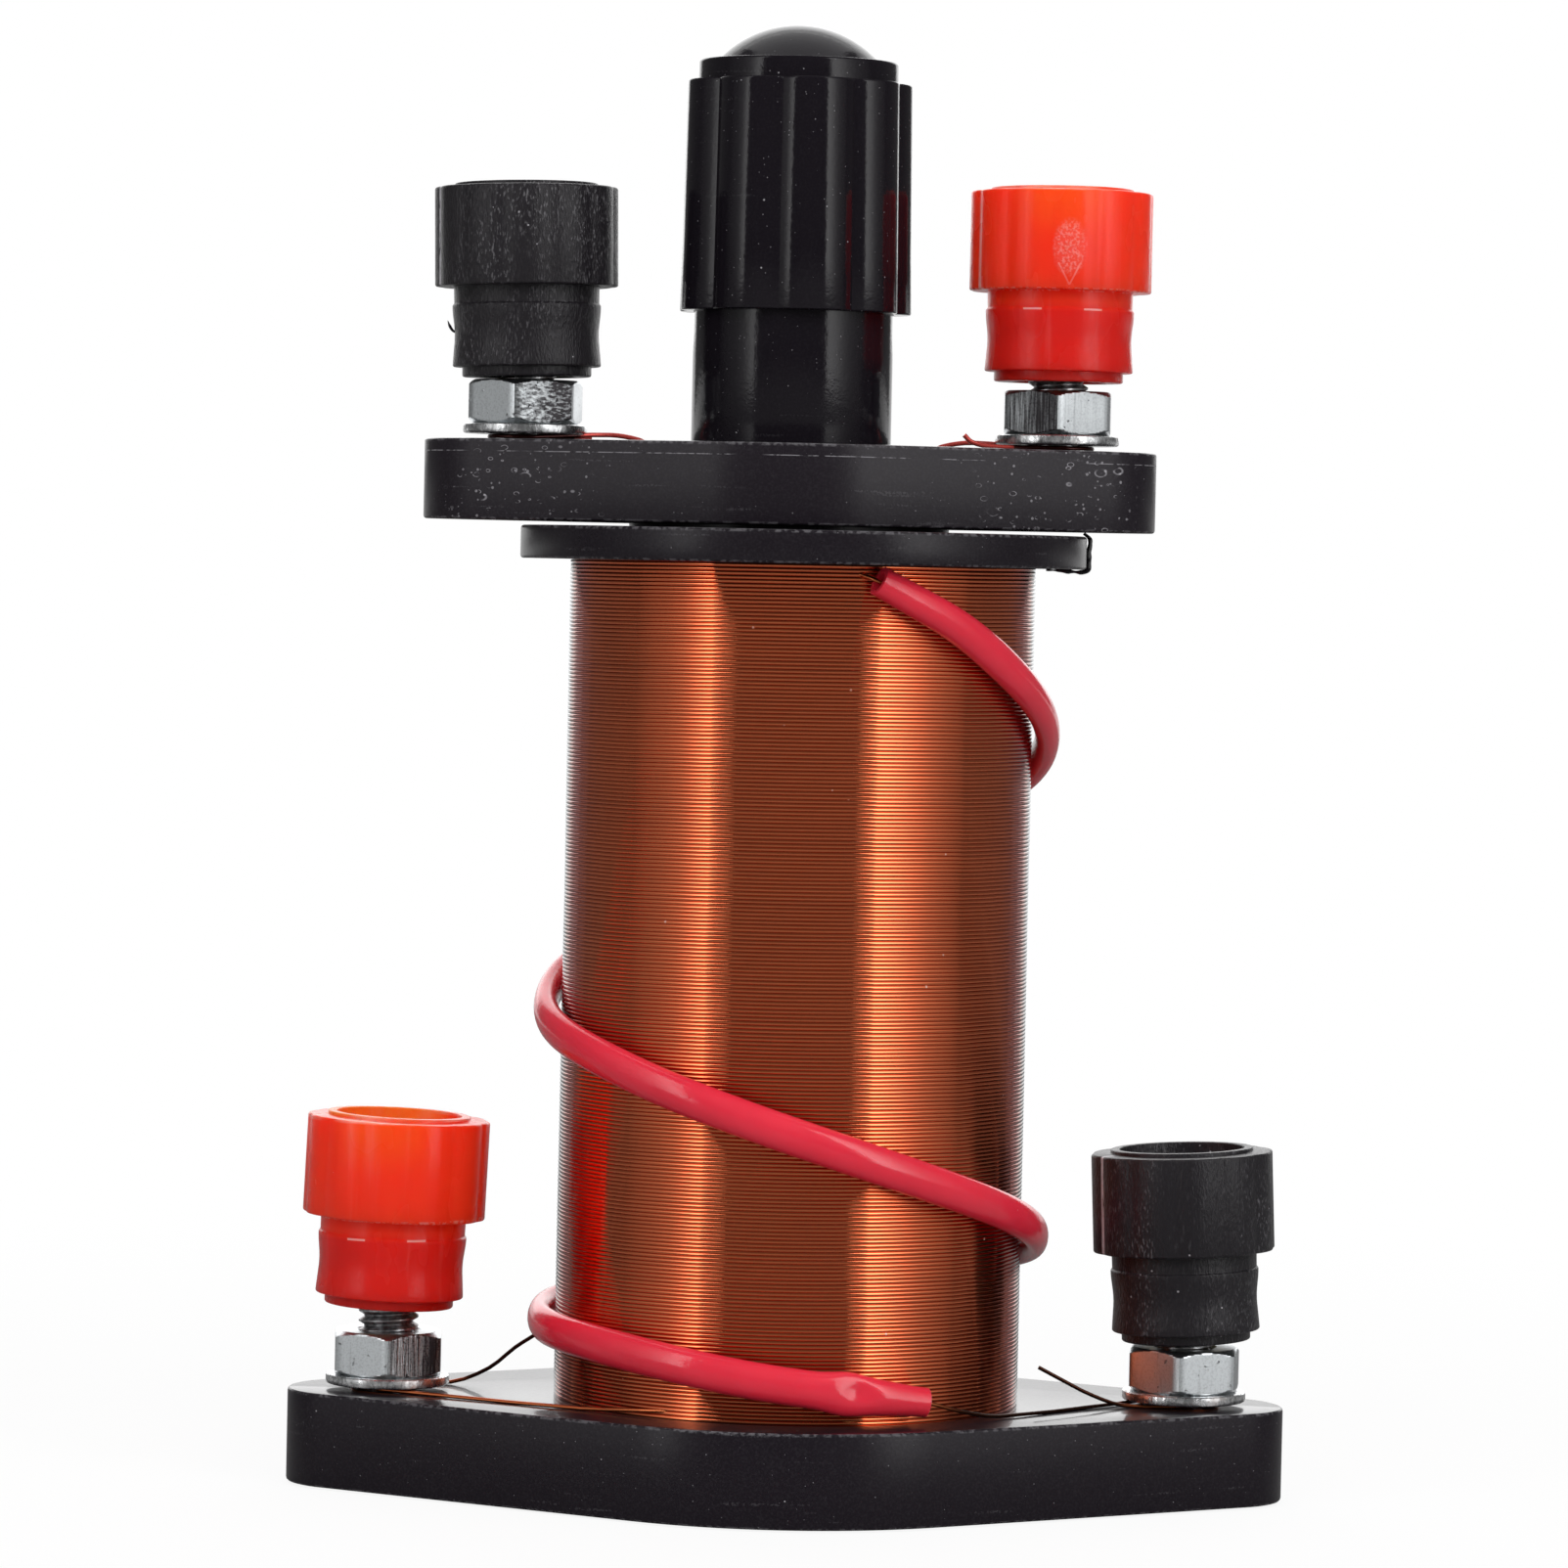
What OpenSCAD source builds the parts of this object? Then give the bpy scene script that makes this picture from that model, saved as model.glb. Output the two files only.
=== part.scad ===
// Primary and secondary coil, a classroom induction set.
// The secondary coil stands on a lozenge base. The primary coil hangs in its bore from a
// smaller lozenge plate, and an iron core with a fluted knob drops into the primary.
// Four screw caps clamp the wires of the circuit onto their binding posts.
// Millimetres. The origin is the middle of the underside of the base, X runs from the left
// binding post to the right one, Y runs away from the front and Z is up.

/* [Base] */
// Distance of each base binding post from the middle
base_post_x = 40; // [38:0.5:46]
// Material from each base post to the tip of the round end
base_end = 10; // [9:0.5:14]
// Radius of the round ends of the base
base_end_r = 7.2; // [5:0.1:9]
// Radius of the round middle of the base
base_mid_r = 29; // [28:0.5:36]
// Thickness of the base
base_t = 9.4; // [8.5:0.1:14]
// Depth of the socket that holds the secondary bobbin
socket_depth = 2.5; // [1.5:0.1:3.5]

/* [Secondary coil] */
// Radius of the bore that takes the primary coil
bore_r = 17.8; // [17:0.1:18.6]
// Wall of the secondary bobbin tube
bobbin_wall = 1.4; // [1:0.1:2]
// Height of the winding between the base and the bobbin flange
winding_h = 83.6; // [75:0.1:90]
// Radius over the outer layer of the winding
winding_r = 23.25; // [22.9:0.05:24.5]
// Turns of the outer layer as drawn
winding_loops = 23; // [18:1:23]
// Height of one drawn turn
turn_w = 3; // [2.4:0.1:3]
// Depth of one drawn turn
turn_t = 1; // [0.8:0.1:1.2]
// Radius of the bobbin flange
flange_r = 28.3; // [27:0.1:32]
// Thickness of the bobbin flange
flange_t = 3.3; // [2.5:0.1:5]

/* [Lead sleeve] */
// Width of the flattened insulating sleeve on the finish lead, along the winding
sleeve_w = 3.7; // [3.2:0.1:3.9]
// Width of the sleeve at its upper mouth
sleeve_mouth_w = 3; // [2.6:0.1:3.2]
// Thickness of the flattened sleeve, off the winding
sleeve_t = 2.5; // [2.2:0.1:2.8]
// Wall of the sleeve
sleeve_wall = 0.5; // [0.3:0.05:0.6]
// Straight stretch at the upper and the lower end of the sleeve
sleeve_ends = [3.9, 3.1];
// Room between the sleeve and the winding
sleeve_gap = 0.3; // [0.2:0.05:0.6]

/* [Primary coil] */
// Radius of the bore that takes the iron core
core_bore_r = 7.4; // [7.2:0.05:7.8]
// Wall of the primary bobbin tube
primary_wall = 1.5; // [1:0.1:2]
// Radius over the primary winding
primary_winding_r = 13.4; // [12:0.1:13.6]
// Room between the primary winding and the flange above it
primary_room = 0.5; // [0.2:0.1:3]
// Radius of both flanges of the primary bobbin
primary_flange_r = 16; // [15.3:0.1:16.2]
// Thickness of both flanges of the primary bobbin
primary_flange_t = 2.5; // [1.5:0.1:4]
// Gap between the bobbin flange and the plate
plate_gap = 0.45; // [0.4:0.05:1]

/* [Plate] */
// Distance of each plate binding post from the primary axis
plate_post_x = 26.6; // [25:0.1:30]
// Material from each plate post to the tip of the round end
plate_end = 10; // [9:0.5:14]
// Radius of the round ends of the plate
plate_end_r = 8.6; // [6:0.1:9]
// Radius of the round middle of the plate
plate_mid_r = 20; // [19:0.5:26]
// Thickness of the plate
plate_t = 8; // [7.5:0.1:12]
// Plate material left above the end of the primary bobbin tube
plate_web = 2; // [1:0.1:3]

/* [Core and knob] */
// Diameter of the iron core
core_d = 14; // [13:0.1:14.2]
// Room under the iron core
core_room = 2; // [1:0.1:6]
// Radius of the neck that rests on the plate
neck_r = 10; // [9.5:0.1:10.1]
// Height of the neck that shows under the knob
neck_h = 13.2; // [8:0.1:20]
// Height of the fluted skirt of the knob
skirt_h = 22.9; // [18:0.1:30]
// Radius over the ribs of the skirt
skirt_r = 11.6; // [11.3:0.05:13]
// Number of ribs round the skirt
skirt_ribs = 9; // [8:1:10]
// Radius of one rib
rib_r = 5; // [4.6:0.1:5.4]
// Radius of the shoulder above the skirt
shoulder_r = 10.05; // [9.6:0.05:10.2]
// Height of the shoulder
shoulder_h = 2.1; // [1:0.1:4]
// Depth of the neck inside the knob
neck_grip = 12; // [8:0.1:14]
// Thickness of the knob web that the screw pulls on
knob_web = 4; // [2:0.1:5]
// Radius of the dome cover
dome_r = 8.2; // [7:0.1:8.6]
// Height of the dome cover
dome_h = 3.7; // [2:0.1:4]
// Radius of the spigot under the dome cover
spigot_r = 6.8; // [6:0.1:6.9]
// Diameter of the knob screw
screw_d = 4; // [3:0.5:5]
// Length of the knob screw in the iron core
screw_grip = 8; // [5:0.5:14]
// Radius of the head of the knob screw
screw_head_r = 3.6; // [3.2:0.1:4.5]
// Height of the head of the knob screw
screw_head_h = 2.6; // [1.5:0.1:3]

/* [Binding posts] */
// Diameter of the post bolt
stud_d = 6; // [5:0.5:6]
// Thread standing above the nut
stud_up = 7; // [6:0.1:7.5]
// Width of the nut and of the bolt head across the flats
nut_af = 10.6; // [9.5:0.1:11]
// Height of the nut
nut_h = 4.4; // [4:0.1:6]
// How far the round face of the nut lies inside its flats
nut_round = 0.2; // [0.1:0.05:0.5]
// Height of the bolt head
bolt_head_h = 3.9; // [3:0.1:4.2]
// How deep the bolt head sits under the face of its pocket
head_sink = 0.4; // [0.2:0.1:0.6]
// Outside diameter of the washer
washer_d = 12.4; // [12:0.1:14]
// Thickness of the washer
washer_t = 1; // [0.6:0.1:1.6]
// Turn of the left and the right nut on the base, in degrees
base_nut_turn = [28.5, 22];
// Turn of the left and the right nut on the plate, in degrees
plate_nut_turn = [22, 27.5];

/* [Screw caps] */
// Radius over the ribs of the cap head
cap_head_r = 9.15; // [9:0.05:10]
// Height of the cap head
cap_head_h = 9.9; // [8.5:0.1:12]
// Number of ribs round the cap head
cap_ribs = 12; // [10:1:14]
// Radius of one cap rib
cap_rib_r = 5; // [4.6:0.1:5.4]
// Radius of the cap below its head
cap_body_r = 7.5; // [7.2:0.1:8]
// Height of the cap below its head
cap_body_h = 8; // [6.5:0.1:10]
// Radius of the collar at the foot of the cap
collar_r = 6.45; // [5.6:0.05:7]
// Height of the collar
collar_h = 1; // [0.5:0.1:2]
// Radius of the hollow in the cap
cup_r = 6.25; // [5.5:0.05:6.5]
// Thickness of the floor under the hollow, from the foot of the cap
cup_floor = 7.1; // [6.5:0.1:8]
// Wall of the raised ring round the hollow
lip_wall = 0.9; // [0.5:0.1:1.2]
// Height of the raised ring
lip_h = 0.4; // [0.2:0.1:0.8]
// Radius of the threaded insert
insert_r = 4.5; // [4.2:0.1:4.9]
// How far the insert sits up from the foot of the cap
insert_lift = 0.3; // [0.2:0.1:0.6]
// Gap between nut and cap on the left and the right base post
base_cap_gap = [2.5, 0.7];
// Gap between nut and cap on the left and the right plate post
plate_cap_gap = [0.3, 0.9];
// Lean of the left and the right base cap towards X, in degrees
base_cap_lean = [2.2, -1.8];
// Lean of the left and the right plate cap towards X, in degrees
plate_cap_lean = [-1.2, 0];

/* [Wires] */
// Diameter of the secondary wire
wire_d = 0.4; // [0.3:0.05:0.5]
// Diameter of the primary wire
primary_wire_d = 0.5; // [0.4:0.05:0.6]
// Room between the primary winding and its leads
lead_room = 0.65; // [0.3:0.05:0.8]

/* [Fits] */
// Room round a piece that is fixed in its hole
fit = 0.05; // [0.03:0.01:0.1]
// Room round a bolt or a wire in its hole
hole_room = 0.25; // [0.15:0.05:0.4]
// Room between faces that rest on each other
seat = 0.05; // [0.03:0.01:0.1]
// Room between the primary flange and the bore where they lean together
lean_touch = 0.3; // [0.1:0.05:0.4]
// Room between the post thread and the threaded insert
thread_room = 0.2; // [0.17:0.01:0.3]

/* [Hidden] */
// Steps of a full round
$fn = 72;
// Overlap that carries a cut through a face
over = 1;
// Rings of a wound tube in each turn, and sides of a tube
turn_rings = 24;
tube_sides = 6;
// Turn of the ribs of the knob and of the caps
skirt_turn = -78;
cap_turn = -93;

// Heights of the secondary coil
base_half = base_post_x + base_end;
flange_z = base_t + winding_h;
flange_top = flange_z + flange_t;
socket_z = base_t - socket_depth;
sec_tube_r = bore_r + bobbin_wall;
turn_r = winding_r - turn_t / 2;
layers_r = (winding_r - turn_t) * cos(180 / turn_rings) - seat;

// Heights of the primary coil, which leans over to the left in its bore
primary_x = -(bore_r - primary_flange_r - lean_touch);
primary_z = socket_z + seat;
plate_z = flange_top + plate_gap;
plate_top = plate_z + plate_t;
plate_half = plate_post_x + plate_end;
pri_tube_r = core_bore_r + primary_wall;
pri_tube_top = plate_top - plate_web;
top_flange_z = plate_z - seat - primary_flange_t;
primary_top = top_flange_z - primary_room;
lead_x = primary_winding_r + lead_room + primary_wire_d / 2;

// Heights of the core and its knob
neck_z = plate_top + seat;
skirt_z = neck_z + neck_h;
shoulder_z = skirt_z + skirt_h;
knob_top = shoulder_z + shoulder_h;
web_z = skirt_z + neck_grip;
screw_head_z = web_z + knob_web;
core_z = socket_z + core_room;

// Heights on a binding post above the face that carries it
base_lift = wire_d + 2 * seat;
plate_lift = primary_wire_d + 2 * seat;
pocket_depth = bolt_head_h + head_sink;
head_r = nut_af / 2 / cos(30);
pocket_r = head_r + hole_room;
stud_r = stud_d / 2;
nut_face_r = nut_af / 2 - nut_round;
cap_h = collar_h + cap_body_h + cap_head_h;

// Colours
BLACK = [0.05, 0.05, 0.055];
RED = [0.93, 0.12, 0.06];
CAP_BLACK = [0.09, 0.09, 0.095];
COPPER = [0.55, 0.23, 0.08];
SLEEVE_RED = [0.80, 0.07, 0.16];
ENAMEL = [0.72, 0.18, 0.10];
ZINC = [0.78, 0.79, 0.80];
BRASS = [0.78, 0.62, 0.30];
IRON = [0.40, 0.40, 0.42];
STEEL = [0.62, 0.63, 0.65];

// Route of the sleeve, by hand: bearing from the front towards the right, and share of the
// winding's height from the base up
SLEEVE_ROUTE = [[25, 0.962], [37, 0.932], [60, 0.867], [90, 0.796], [135, 0.707], [180, 0.623],
    [225, 0.539], [270, 0.467], [310, 0.418], [335, 0.38], [360, 0.339], [405, 0.264], [450, 0.198],
    [495, 0.152], [540, 0.121], [585, 0.103], [630, 0.0905], [675, 0.0795], [720, 0.0485],
    [746, 0.032]];
// Ways of the secondary leads along the base, by hand: X and Y from the middle, Z from the base
START_RUN = [[-12.4, -19.7, 0.75], [-20, -15.2, 0.25]];
FINISH_RUN = [[17, -18.4, 1.2], [21, -14.8, 0.3]];
// Free ends of the leads, by hand: X and Y from their post, Z from the face under the washer
START_TAIL = [[6.2, 3.6, 0.25], [10, 4, 1.7], [12.6, 4.4, 3.8], [13.8, 4.6, 4.6]];
FINISH_TAIL = [[-6.2, -3.7, 0.25], [-9.5, -4, 1.3], [-12.5, -4.4, 2.8], [-14.8, -4.6, 4]];
LEFT_TAIL = [[6.6, 3.5, 0.3]];
RIGHT_TAIL = [[-6.6, -3.7, 0.3], [-8.6, -3.9, 0.7], [-9.4, -4, 1.4]];
// How far round its post each lead loops, in degrees
start_loop = 150;
finish_loop = 220;
left_loop = 180;
right_loop = 215;
// Bearings where the winding starts at the bottom and finishes at the top
start_bearing = -14;
finish_bearing = 4.5;

// Vectors and routes

function unit(v) = v / norm(v);
function bearing(a) = [sin(a), -cos(a), 0];
function along(a) = [cos(a), sin(a), 0];
function heading(path, i) = unit(path[min(i + 1, len(path) - 1)] - path[max(i - 1, 0)]);
function square_to(v, t) = unit(v - (v * t) * t);

// A ring of a tube round a point, on two half axes
function ring(centre, a, b) =
    [for (k = [0 : tube_sides - 1]) centre + a * cos(30 + 60 * k) + b * sin(30 + 60 * k)];

// Sideways directions that are carried along a route without twisting
function carried(path) =
    [for (i = 0, n = square_to(abs(heading(path, 0).z) < 0.9 ? [0, 0, 1] : [1, 0, 0], heading(path, 0));
        i < len(path);
        i = i + 1, n = i < len(path) ? square_to(n, heading(path, i)) : n) n];
function tube_rings(path, r) = let (side = carried(path))
    [for (i = [0 : len(path) - 1])
        ring(path[i], r * side[i], r * cross(heading(path, i), side[i]))];

// Rings of a tube that lies flat against a round on the Z axis, with another width at its mouth
function flat_rings(path, thick, wide, mouth) =
    [for (i = [0 : len(path) - 1])
        let (ahead = heading(path, i),
            out = square_to([path[i].x, path[i].y, 0], ahead),
            half = (i == 0 ? mouth : wide) / 2)
        ring(path[i], half / cos(30) * cross(out, ahead), thick / 2 * out)];

// Faces of the skin from ring to ring, from a first point on, outwards or inwards
function side_faces(rings, first, flip) =
    [for (i = [0 : rings - 2], k = [0 : tube_sides - 1], half = [0, 1])
        let (a = first + i * tube_sides + k,
            b = first + i * tube_sides + (k + 1) % tube_sides,
            f = half == 0 ? [a, b, b + tube_sides] : [a, b + tube_sides, a + tube_sides])
        flip ? [f[2], f[1], f[0]] : f];
function end_faces(first, flip) =
    [for (k = [1 : tube_sides - 2])
        flip ? [first, first + k, first + k + 1] : [first, first + k + 1, first + k]];
function rim_faces(outer, inner, flip) =
    [for (k = [0 : tube_sides - 1], half = [0, 1])
        let (k2 = (k + 1) % tube_sides,
            f = half == 0 ? [outer + k, inner + k2, outer + k2] : [outer + k, inner + k, inner + k2])
        flip ? [f[2], f[1], f[0]] : f];

module solid_tube(rings) {
    last = (len(rings) - 1) * tube_sides;
    polyhedron(points = [for (r = rings) each r],
        faces = concat(side_faces(len(rings), 0, true), end_faces(0, true), end_faces(last, false)));
}

module hollow_tube(outer, inner) {
    count = len(outer) * tube_sides;
    last = count - tube_sides;
    polyhedron(points = concat([for (r = outer) each r], [for (r = inner) each r]),
        faces = concat(side_faces(len(outer), 0, true), side_faces(len(inner), count, false),
            rim_faces(0, count, true), rim_faces(last, count + last, false)));
}

// Least distance between points of a wound tube one turn apart
function own_gap(rings) =
    min([for (i = [0 : len(rings) - turn_rings - 2], j = [i + turn_rings - 1 : i + turn_rings + 1],
        p = rings[i], q = rings[j]) norm(p - q)]);

// A smooth height between the points of a table of bearings and heights
function step_of(table, a, i = 0) =
    i + 2 >= len(table) || a <= table[i + 1][0] ? i : step_of(table, a, i + 1);
function slope_at(table, i) = let (a = max(i - 1, 0), b = min(i + 1, len(table) - 1))
    (table[b][1] - table[a][1]) / (table[b][0] - table[a][0]);
function height_at(table, a) = let (i = step_of(table, a),
    span = table[i + 1][0] - table[i][0],
    t = (a - table[i][0]) / span)
    (1 + 2 * t) * pow(1 - t, 2) * table[i][1] + t * pow(1 - t, 2) * span * slope_at(table, i)
    + t * t * (3 - 2 * t) * table[i + 1][1] + t * t * (t - 1) * span * slope_at(table, i + 1);

// Turns of the outer layer of the secondary winding

turn_low = base_t + seat + turn_w / 2;
turn_high = flange_z - seat - turn_w / 2;
turned = 360 * winding_loops + finish_bearing - start_bearing;
turn_steps = round(turned / 360 * turn_rings);
function turn_point(i) = let (a = start_bearing + turned * i / turn_steps)
    turn_r * bearing(a) + [0, 0, turn_low + (turn_high - turn_low) * i / turn_steps];
winding_start = turn_point(0) - turn_w * along(start_bearing);
winding_finish = turn_point(turn_steps) + turn_w * along(finish_bearing);
function turn_ring(p, a) = ring(p, turn_t / 2 / cos(30) * bearing(a), [0, 0, turn_w / 2]);
winding_rings = concat([turn_ring(winding_start, start_bearing)],
    [for (i = [0 : turn_steps]) turn_ring(turn_point(i), start_bearing + turned * i / turn_steps)],
    [turn_ring(winding_finish, finish_bearing)]);

// Route of the sleeve round the winding, with straight ends

sleeve_r = winding_r + sleeve_gap + sleeve_t / 2;
function sleeve_point(a) =
    sleeve_r * bearing(a) + [0, 0, base_t + winding_h * height_at(SLEEVE_ROUTE, a)];
route_from = SLEEVE_ROUTE[0][0];
route_to = SLEEVE_ROUTE[len(SLEEVE_ROUTE) - 1][0];
route_steps = round((route_to - route_from) / 360 * turn_rings);
sleeve_turns = [for (i = [0 : route_steps])
    sleeve_point(route_from + (route_to - route_from) * i / route_steps)];
sleeve_mouth = sleeve_turns[0] - sleeve_ends[0] * unit(sleeve_turns[1] - sleeve_turns[0]);
sleeve_exit = sleeve_turns[route_steps]
    + sleeve_ends[1] * unit(sleeve_turns[route_steps] - sleeve_turns[route_steps - 1]);
sleeve_path = concat([sleeve_mouth], sleeve_turns, [sleeve_exit]);
sleeve_rings = flat_rings(sleeve_path, sleeve_t, sleeve_w, sleeve_mouth_w);
bore_rings = flat_rings(sleeve_path, sleeve_t - 2 * sleeve_wall, sleeve_w - 2 * sleeve_wall,
    sleeve_mouth_w - 2 * sleeve_wall);

// Leads that loop round a binding post under its washer

// Points of a loop that is met as a tangent from a point and runs clockwise, seen from above
function post_loop(post, from, r, z, sweep) =
    let (away = [from.x - post.x, from.y - post.y],
        met = atan2(away.y, away.x) - acos(r / norm(away)),
        steps = round(sweep / 360 * turn_rings))
    [for (i = [0 : steps]) let (a = met - sweep * i / steps)
        [post.x + r * cos(a), post.y + r * sin(a), z]];

function shifted(points, by) = [for (p = points) p + by];

base_wire_z = base_t + seat + wire_d / 2;
base_loop_r = stud_r + hole_room + wire_d / 2;
left_post = [-base_post_x, 0, base_t];
right_post = [base_post_x, 0, base_t];
start_run = shifted(START_RUN, [0, 0, base_t]);
finish_run = shifted(FINISH_RUN, [0, 0, base_t]);
start_path = concat([winding_start, winding_start - wire_d * along(start_bearing)], start_run,
    post_loop(left_post, start_run[1], base_loop_r, base_wire_z, start_loop),
    shifted(START_TAIL, left_post));
finish_path = concat([winding_finish, winding_finish + wire_d * along(finish_bearing)],
    sleeve_path, finish_run,
    post_loop(right_post, finish_run[1], base_loop_r, base_wire_z, finish_loop),
    shifted(FINISH_TAIL, right_post));

plate_wire_z = plate_top + seat + primary_wire_d / 2;
plate_loop_r = stud_r + hole_room + primary_wire_d / 2;
function plate_lead(side, sweep, tail) =
    let (post = [primary_x + side * plate_post_x, 0, plate_top],
        hole = [primary_x + side * lead_x, 0],
        bend = [hole.x + 2 * side * primary_wire_d, 0, plate_wire_z])
    concat([for (z = [primary_top, plate_top - primary_wire_d, plate_wire_z - primary_wire_d / 4])
            [hole.x, hole.y, z]],
        [bend], post_loop(post, bend, plate_loop_r, plate_wire_z, sweep), shifted(tail, post));

// Shapes that repeat

// A lozenge with a round middle and round ends
module lozenge(mid_r, end_r, half) {
    reach = half - end_r;
    slope = asin((mid_r - end_r) / reach);
    on_mid = mid_r * [sin(slope), cos(slope)];
    on_end = end_r * [sin(slope), cos(slope)] + [reach, 0];
    circle(mid_r);
    for (side = [-1, 1])
        translate([side * reach, 0]) circle(end_r);
    polygon([on_end, on_mid, [-on_mid.x, on_mid.y], [-on_end.x, on_end.y],
        -on_end, -on_mid, [on_mid.x, -on_mid.y], [on_end.x, -on_end.y]]);
}

// Clearance hole for a post bolt with the pocket for its head
module bolt_hole(thickness) {
    translate([0, 0, -over]) cylinder(r = pocket_r, h = pocket_depth + over);
    cylinder(r = stud_r + hole_room, h = thickness + over);
}

// Hole that a primary lead comes up through
module lead_hole(thickness) {
    translate([0, 0, -over]) cylinder(r = primary_wire_d / 2 + hole_room, h = thickness + 2 * over);
}

// A bolt from its pocket up through the nut
module bolt(top) {
    translate([0, 0, pocket_depth - bolt_head_h])
        cylinder(r = head_r, h = bolt_head_h, $fn = 6);
    translate([0, 0, pocket_depth]) cylinder(r = stud_r, h = top - pocket_depth);
}

module washer() {
    difference() {
        cylinder(d = washer_d, h = washer_t);
        translate([0, 0, -over]) cylinder(r = stud_r + hole_room, h = washer_t + 2 * over);
    }
}

// A hexagon nut with its corners taken off at both faces
module nut() {
    widest_r = nut_face_r + nut_h / tan(30);
    difference() {
        intersection() {
            cylinder(r = head_r, h = nut_h, $fn = 6);
            cylinder(r1 = nut_face_r, r2 = widest_r, h = nut_h);
            cylinder(r1 = widest_r, r2 = nut_face_r, h = nut_h);
        }
        translate([0, 0, -over]) cylinder(r = stud_r + fit, h = nut_h + 2 * over);
    }
}

// Places a piece on the leaning axis of a cap, from the foot of the cap up
module on_cap_axis(x, nut_top, gap, lean) {
    translate([x, 0, nut_top + stud_up / 2])
        rotate([0, lean, 0])
            translate([0, 0, gap - stud_up / 2]) children();
}

module ribbed(count, r, rib) {
    for (k = [0 : count - 1])
        rotate(360 / count * k) translate([r - rib, 0]) circle(rib);
}

// A screw cap: ribbed head with a hollow, round body and collar, bored for its insert
module cap_shape() {
    difference() {
        union() {
            cylinder(r = collar_r, h = collar_h + fit);
            translate([0, 0, collar_h]) cylinder(r = cap_body_r, h = cap_body_h + fit);
            translate([0, 0, collar_h + cap_body_h])
                rotate(cap_turn) linear_extrude(cap_head_h) ribbed(cap_ribs, cap_head_r, cap_rib_r);
            translate([0, 0, cap_h - fit]) cylinder(r = cup_r + lip_wall, h = lip_h + fit);
        }
        translate([0, 0, cup_floor]) cylinder(r = cup_r, h = cap_h);
        translate([0, 0, -over]) cylinder(r = insert_r + fit, h = cap_h);
    }
}

module insert_shape() {
    translate([0, 0, insert_lift])
        difference() {
            cylinder(r = insert_r, h = cup_floor - insert_lift);
            translate([0, 0, -over]) cylinder(r = stud_r + thread_room, h = cap_h);
        }
}

// Heights of the nuts' top faces
base_nut_z = base_t + base_lift + washer_t;
plate_nut_z = plate_top + plate_lift + washer_t;

module on_base_post(side) {
    on_cap_axis((2 * side - 1) * base_post_x, base_nut_z + nut_h, base_cap_gap[side], base_cap_lean[side])
        children();
}

module on_plate_post(side) {
    on_cap_axis(primary_x + (2 * side - 1) * plate_post_x, plate_nut_z + nut_h,
        plate_cap_gap[side], plate_cap_lean[side]) children();
}

// Secondary coil

module base_plate() {
    color(BLACK) difference() {
        linear_extrude(base_t) lozenge(base_mid_r, base_end_r, base_half);
        translate([0, 0, socket_z]) cylinder(r = sec_tube_r + fit, h = socket_depth + over);
        for (x = [-base_post_x, base_post_x])
            translate([x, 0, 0]) bolt_hole(base_t);
    }
}

module secondary_bobbin() {
    color(BLACK) difference() {
        union() {
            translate([0, 0, socket_z]) cylinder(r = sec_tube_r, h = flange_top - socket_z);
            translate([0, 0, flange_z]) cylinder(r = flange_r, h = flange_t);
        }
        translate([0, 0, socket_z - over]) cylinder(r = bore_r, h = flange_top - socket_z + 2 * over);
    }
}

module secondary_layers() {
    color(COPPER) difference() {
        translate([0, 0, base_t + seat]) cylinder(r = layers_r, h = winding_h - 2 * seat);
        cylinder(r = sec_tube_r + fit, h = flange_z + over);
    }
}

module secondary_winding() { color(COPPER) solid_tube(winding_rings); }

module lead_sleeve() { color(SLEEVE_RED) hollow_tube(sleeve_rings, bore_rings); }

module start_lead() { color(COPPER) solid_tube(tube_rings(start_path, wire_d / 2)); }

module finish_lead() { color(COPPER) solid_tube(tube_rings(finish_path, wire_d / 2)); }

module base_bolts() {
    color(STEEL) for (x = [-base_post_x, base_post_x])
        translate([x, 0, 0]) bolt(base_nut_z + nut_h + stud_up);
}

module base_washers() {
    color(ZINC) for (x = [-base_post_x, base_post_x])
        translate([x, 0, base_t + base_lift]) washer();
}

module base_nuts() {
    color(ZINC) for (side = [0, 1])
        translate([(2 * side - 1) * base_post_x, 0, base_nut_z]) rotate(base_nut_turn[side]) nut();
}

// Primary coil

module primary_plate() {
    color(BLACK) difference() {
        translate([primary_x, 0, plate_z])
            linear_extrude(plate_t) lozenge(plate_mid_r, plate_end_r, plate_half);
        translate([primary_x, 0, plate_z - over]) {
            cylinder(r = pri_tube_r + fit, h = plate_t - plate_web + over);
            cylinder(r = core_bore_r, h = plate_t + 2 * over);
        }
        for (side = [-1, 1]) {
            translate([primary_x + side * plate_post_x, 0, plate_z]) bolt_hole(plate_t);
            translate([primary_x + side * lead_x, 0, plate_z]) lead_hole(plate_t);
        }
    }
}

module primary_bobbin() {
    color(BLACK) translate([primary_x, 0, 0]) difference() {
        union() {
            translate([0, 0, primary_z]) cylinder(r = pri_tube_r, h = pri_tube_top - seat - primary_z);
            for (z = [primary_z, top_flange_z])
                translate([0, 0, z]) cylinder(r = primary_flange_r, h = primary_flange_t);
        }
        translate([0, 0, primary_z - over])
            cylinder(r = core_bore_r, h = pri_tube_top - primary_z + 2 * over);
        for (side = [-1, 1])
            translate([side * lead_x, 0, top_flange_z]) lead_hole(primary_flange_t);
    }
}

module primary_winding() {
    low = primary_z + primary_flange_t + seat;
    color(ENAMEL) translate([primary_x, 0, low]) difference() {
        cylinder(r = primary_winding_r, h = primary_top - low);
        translate([0, 0, -over]) cylinder(r = pri_tube_r + fit, h = plate_z);
    }
}

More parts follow.
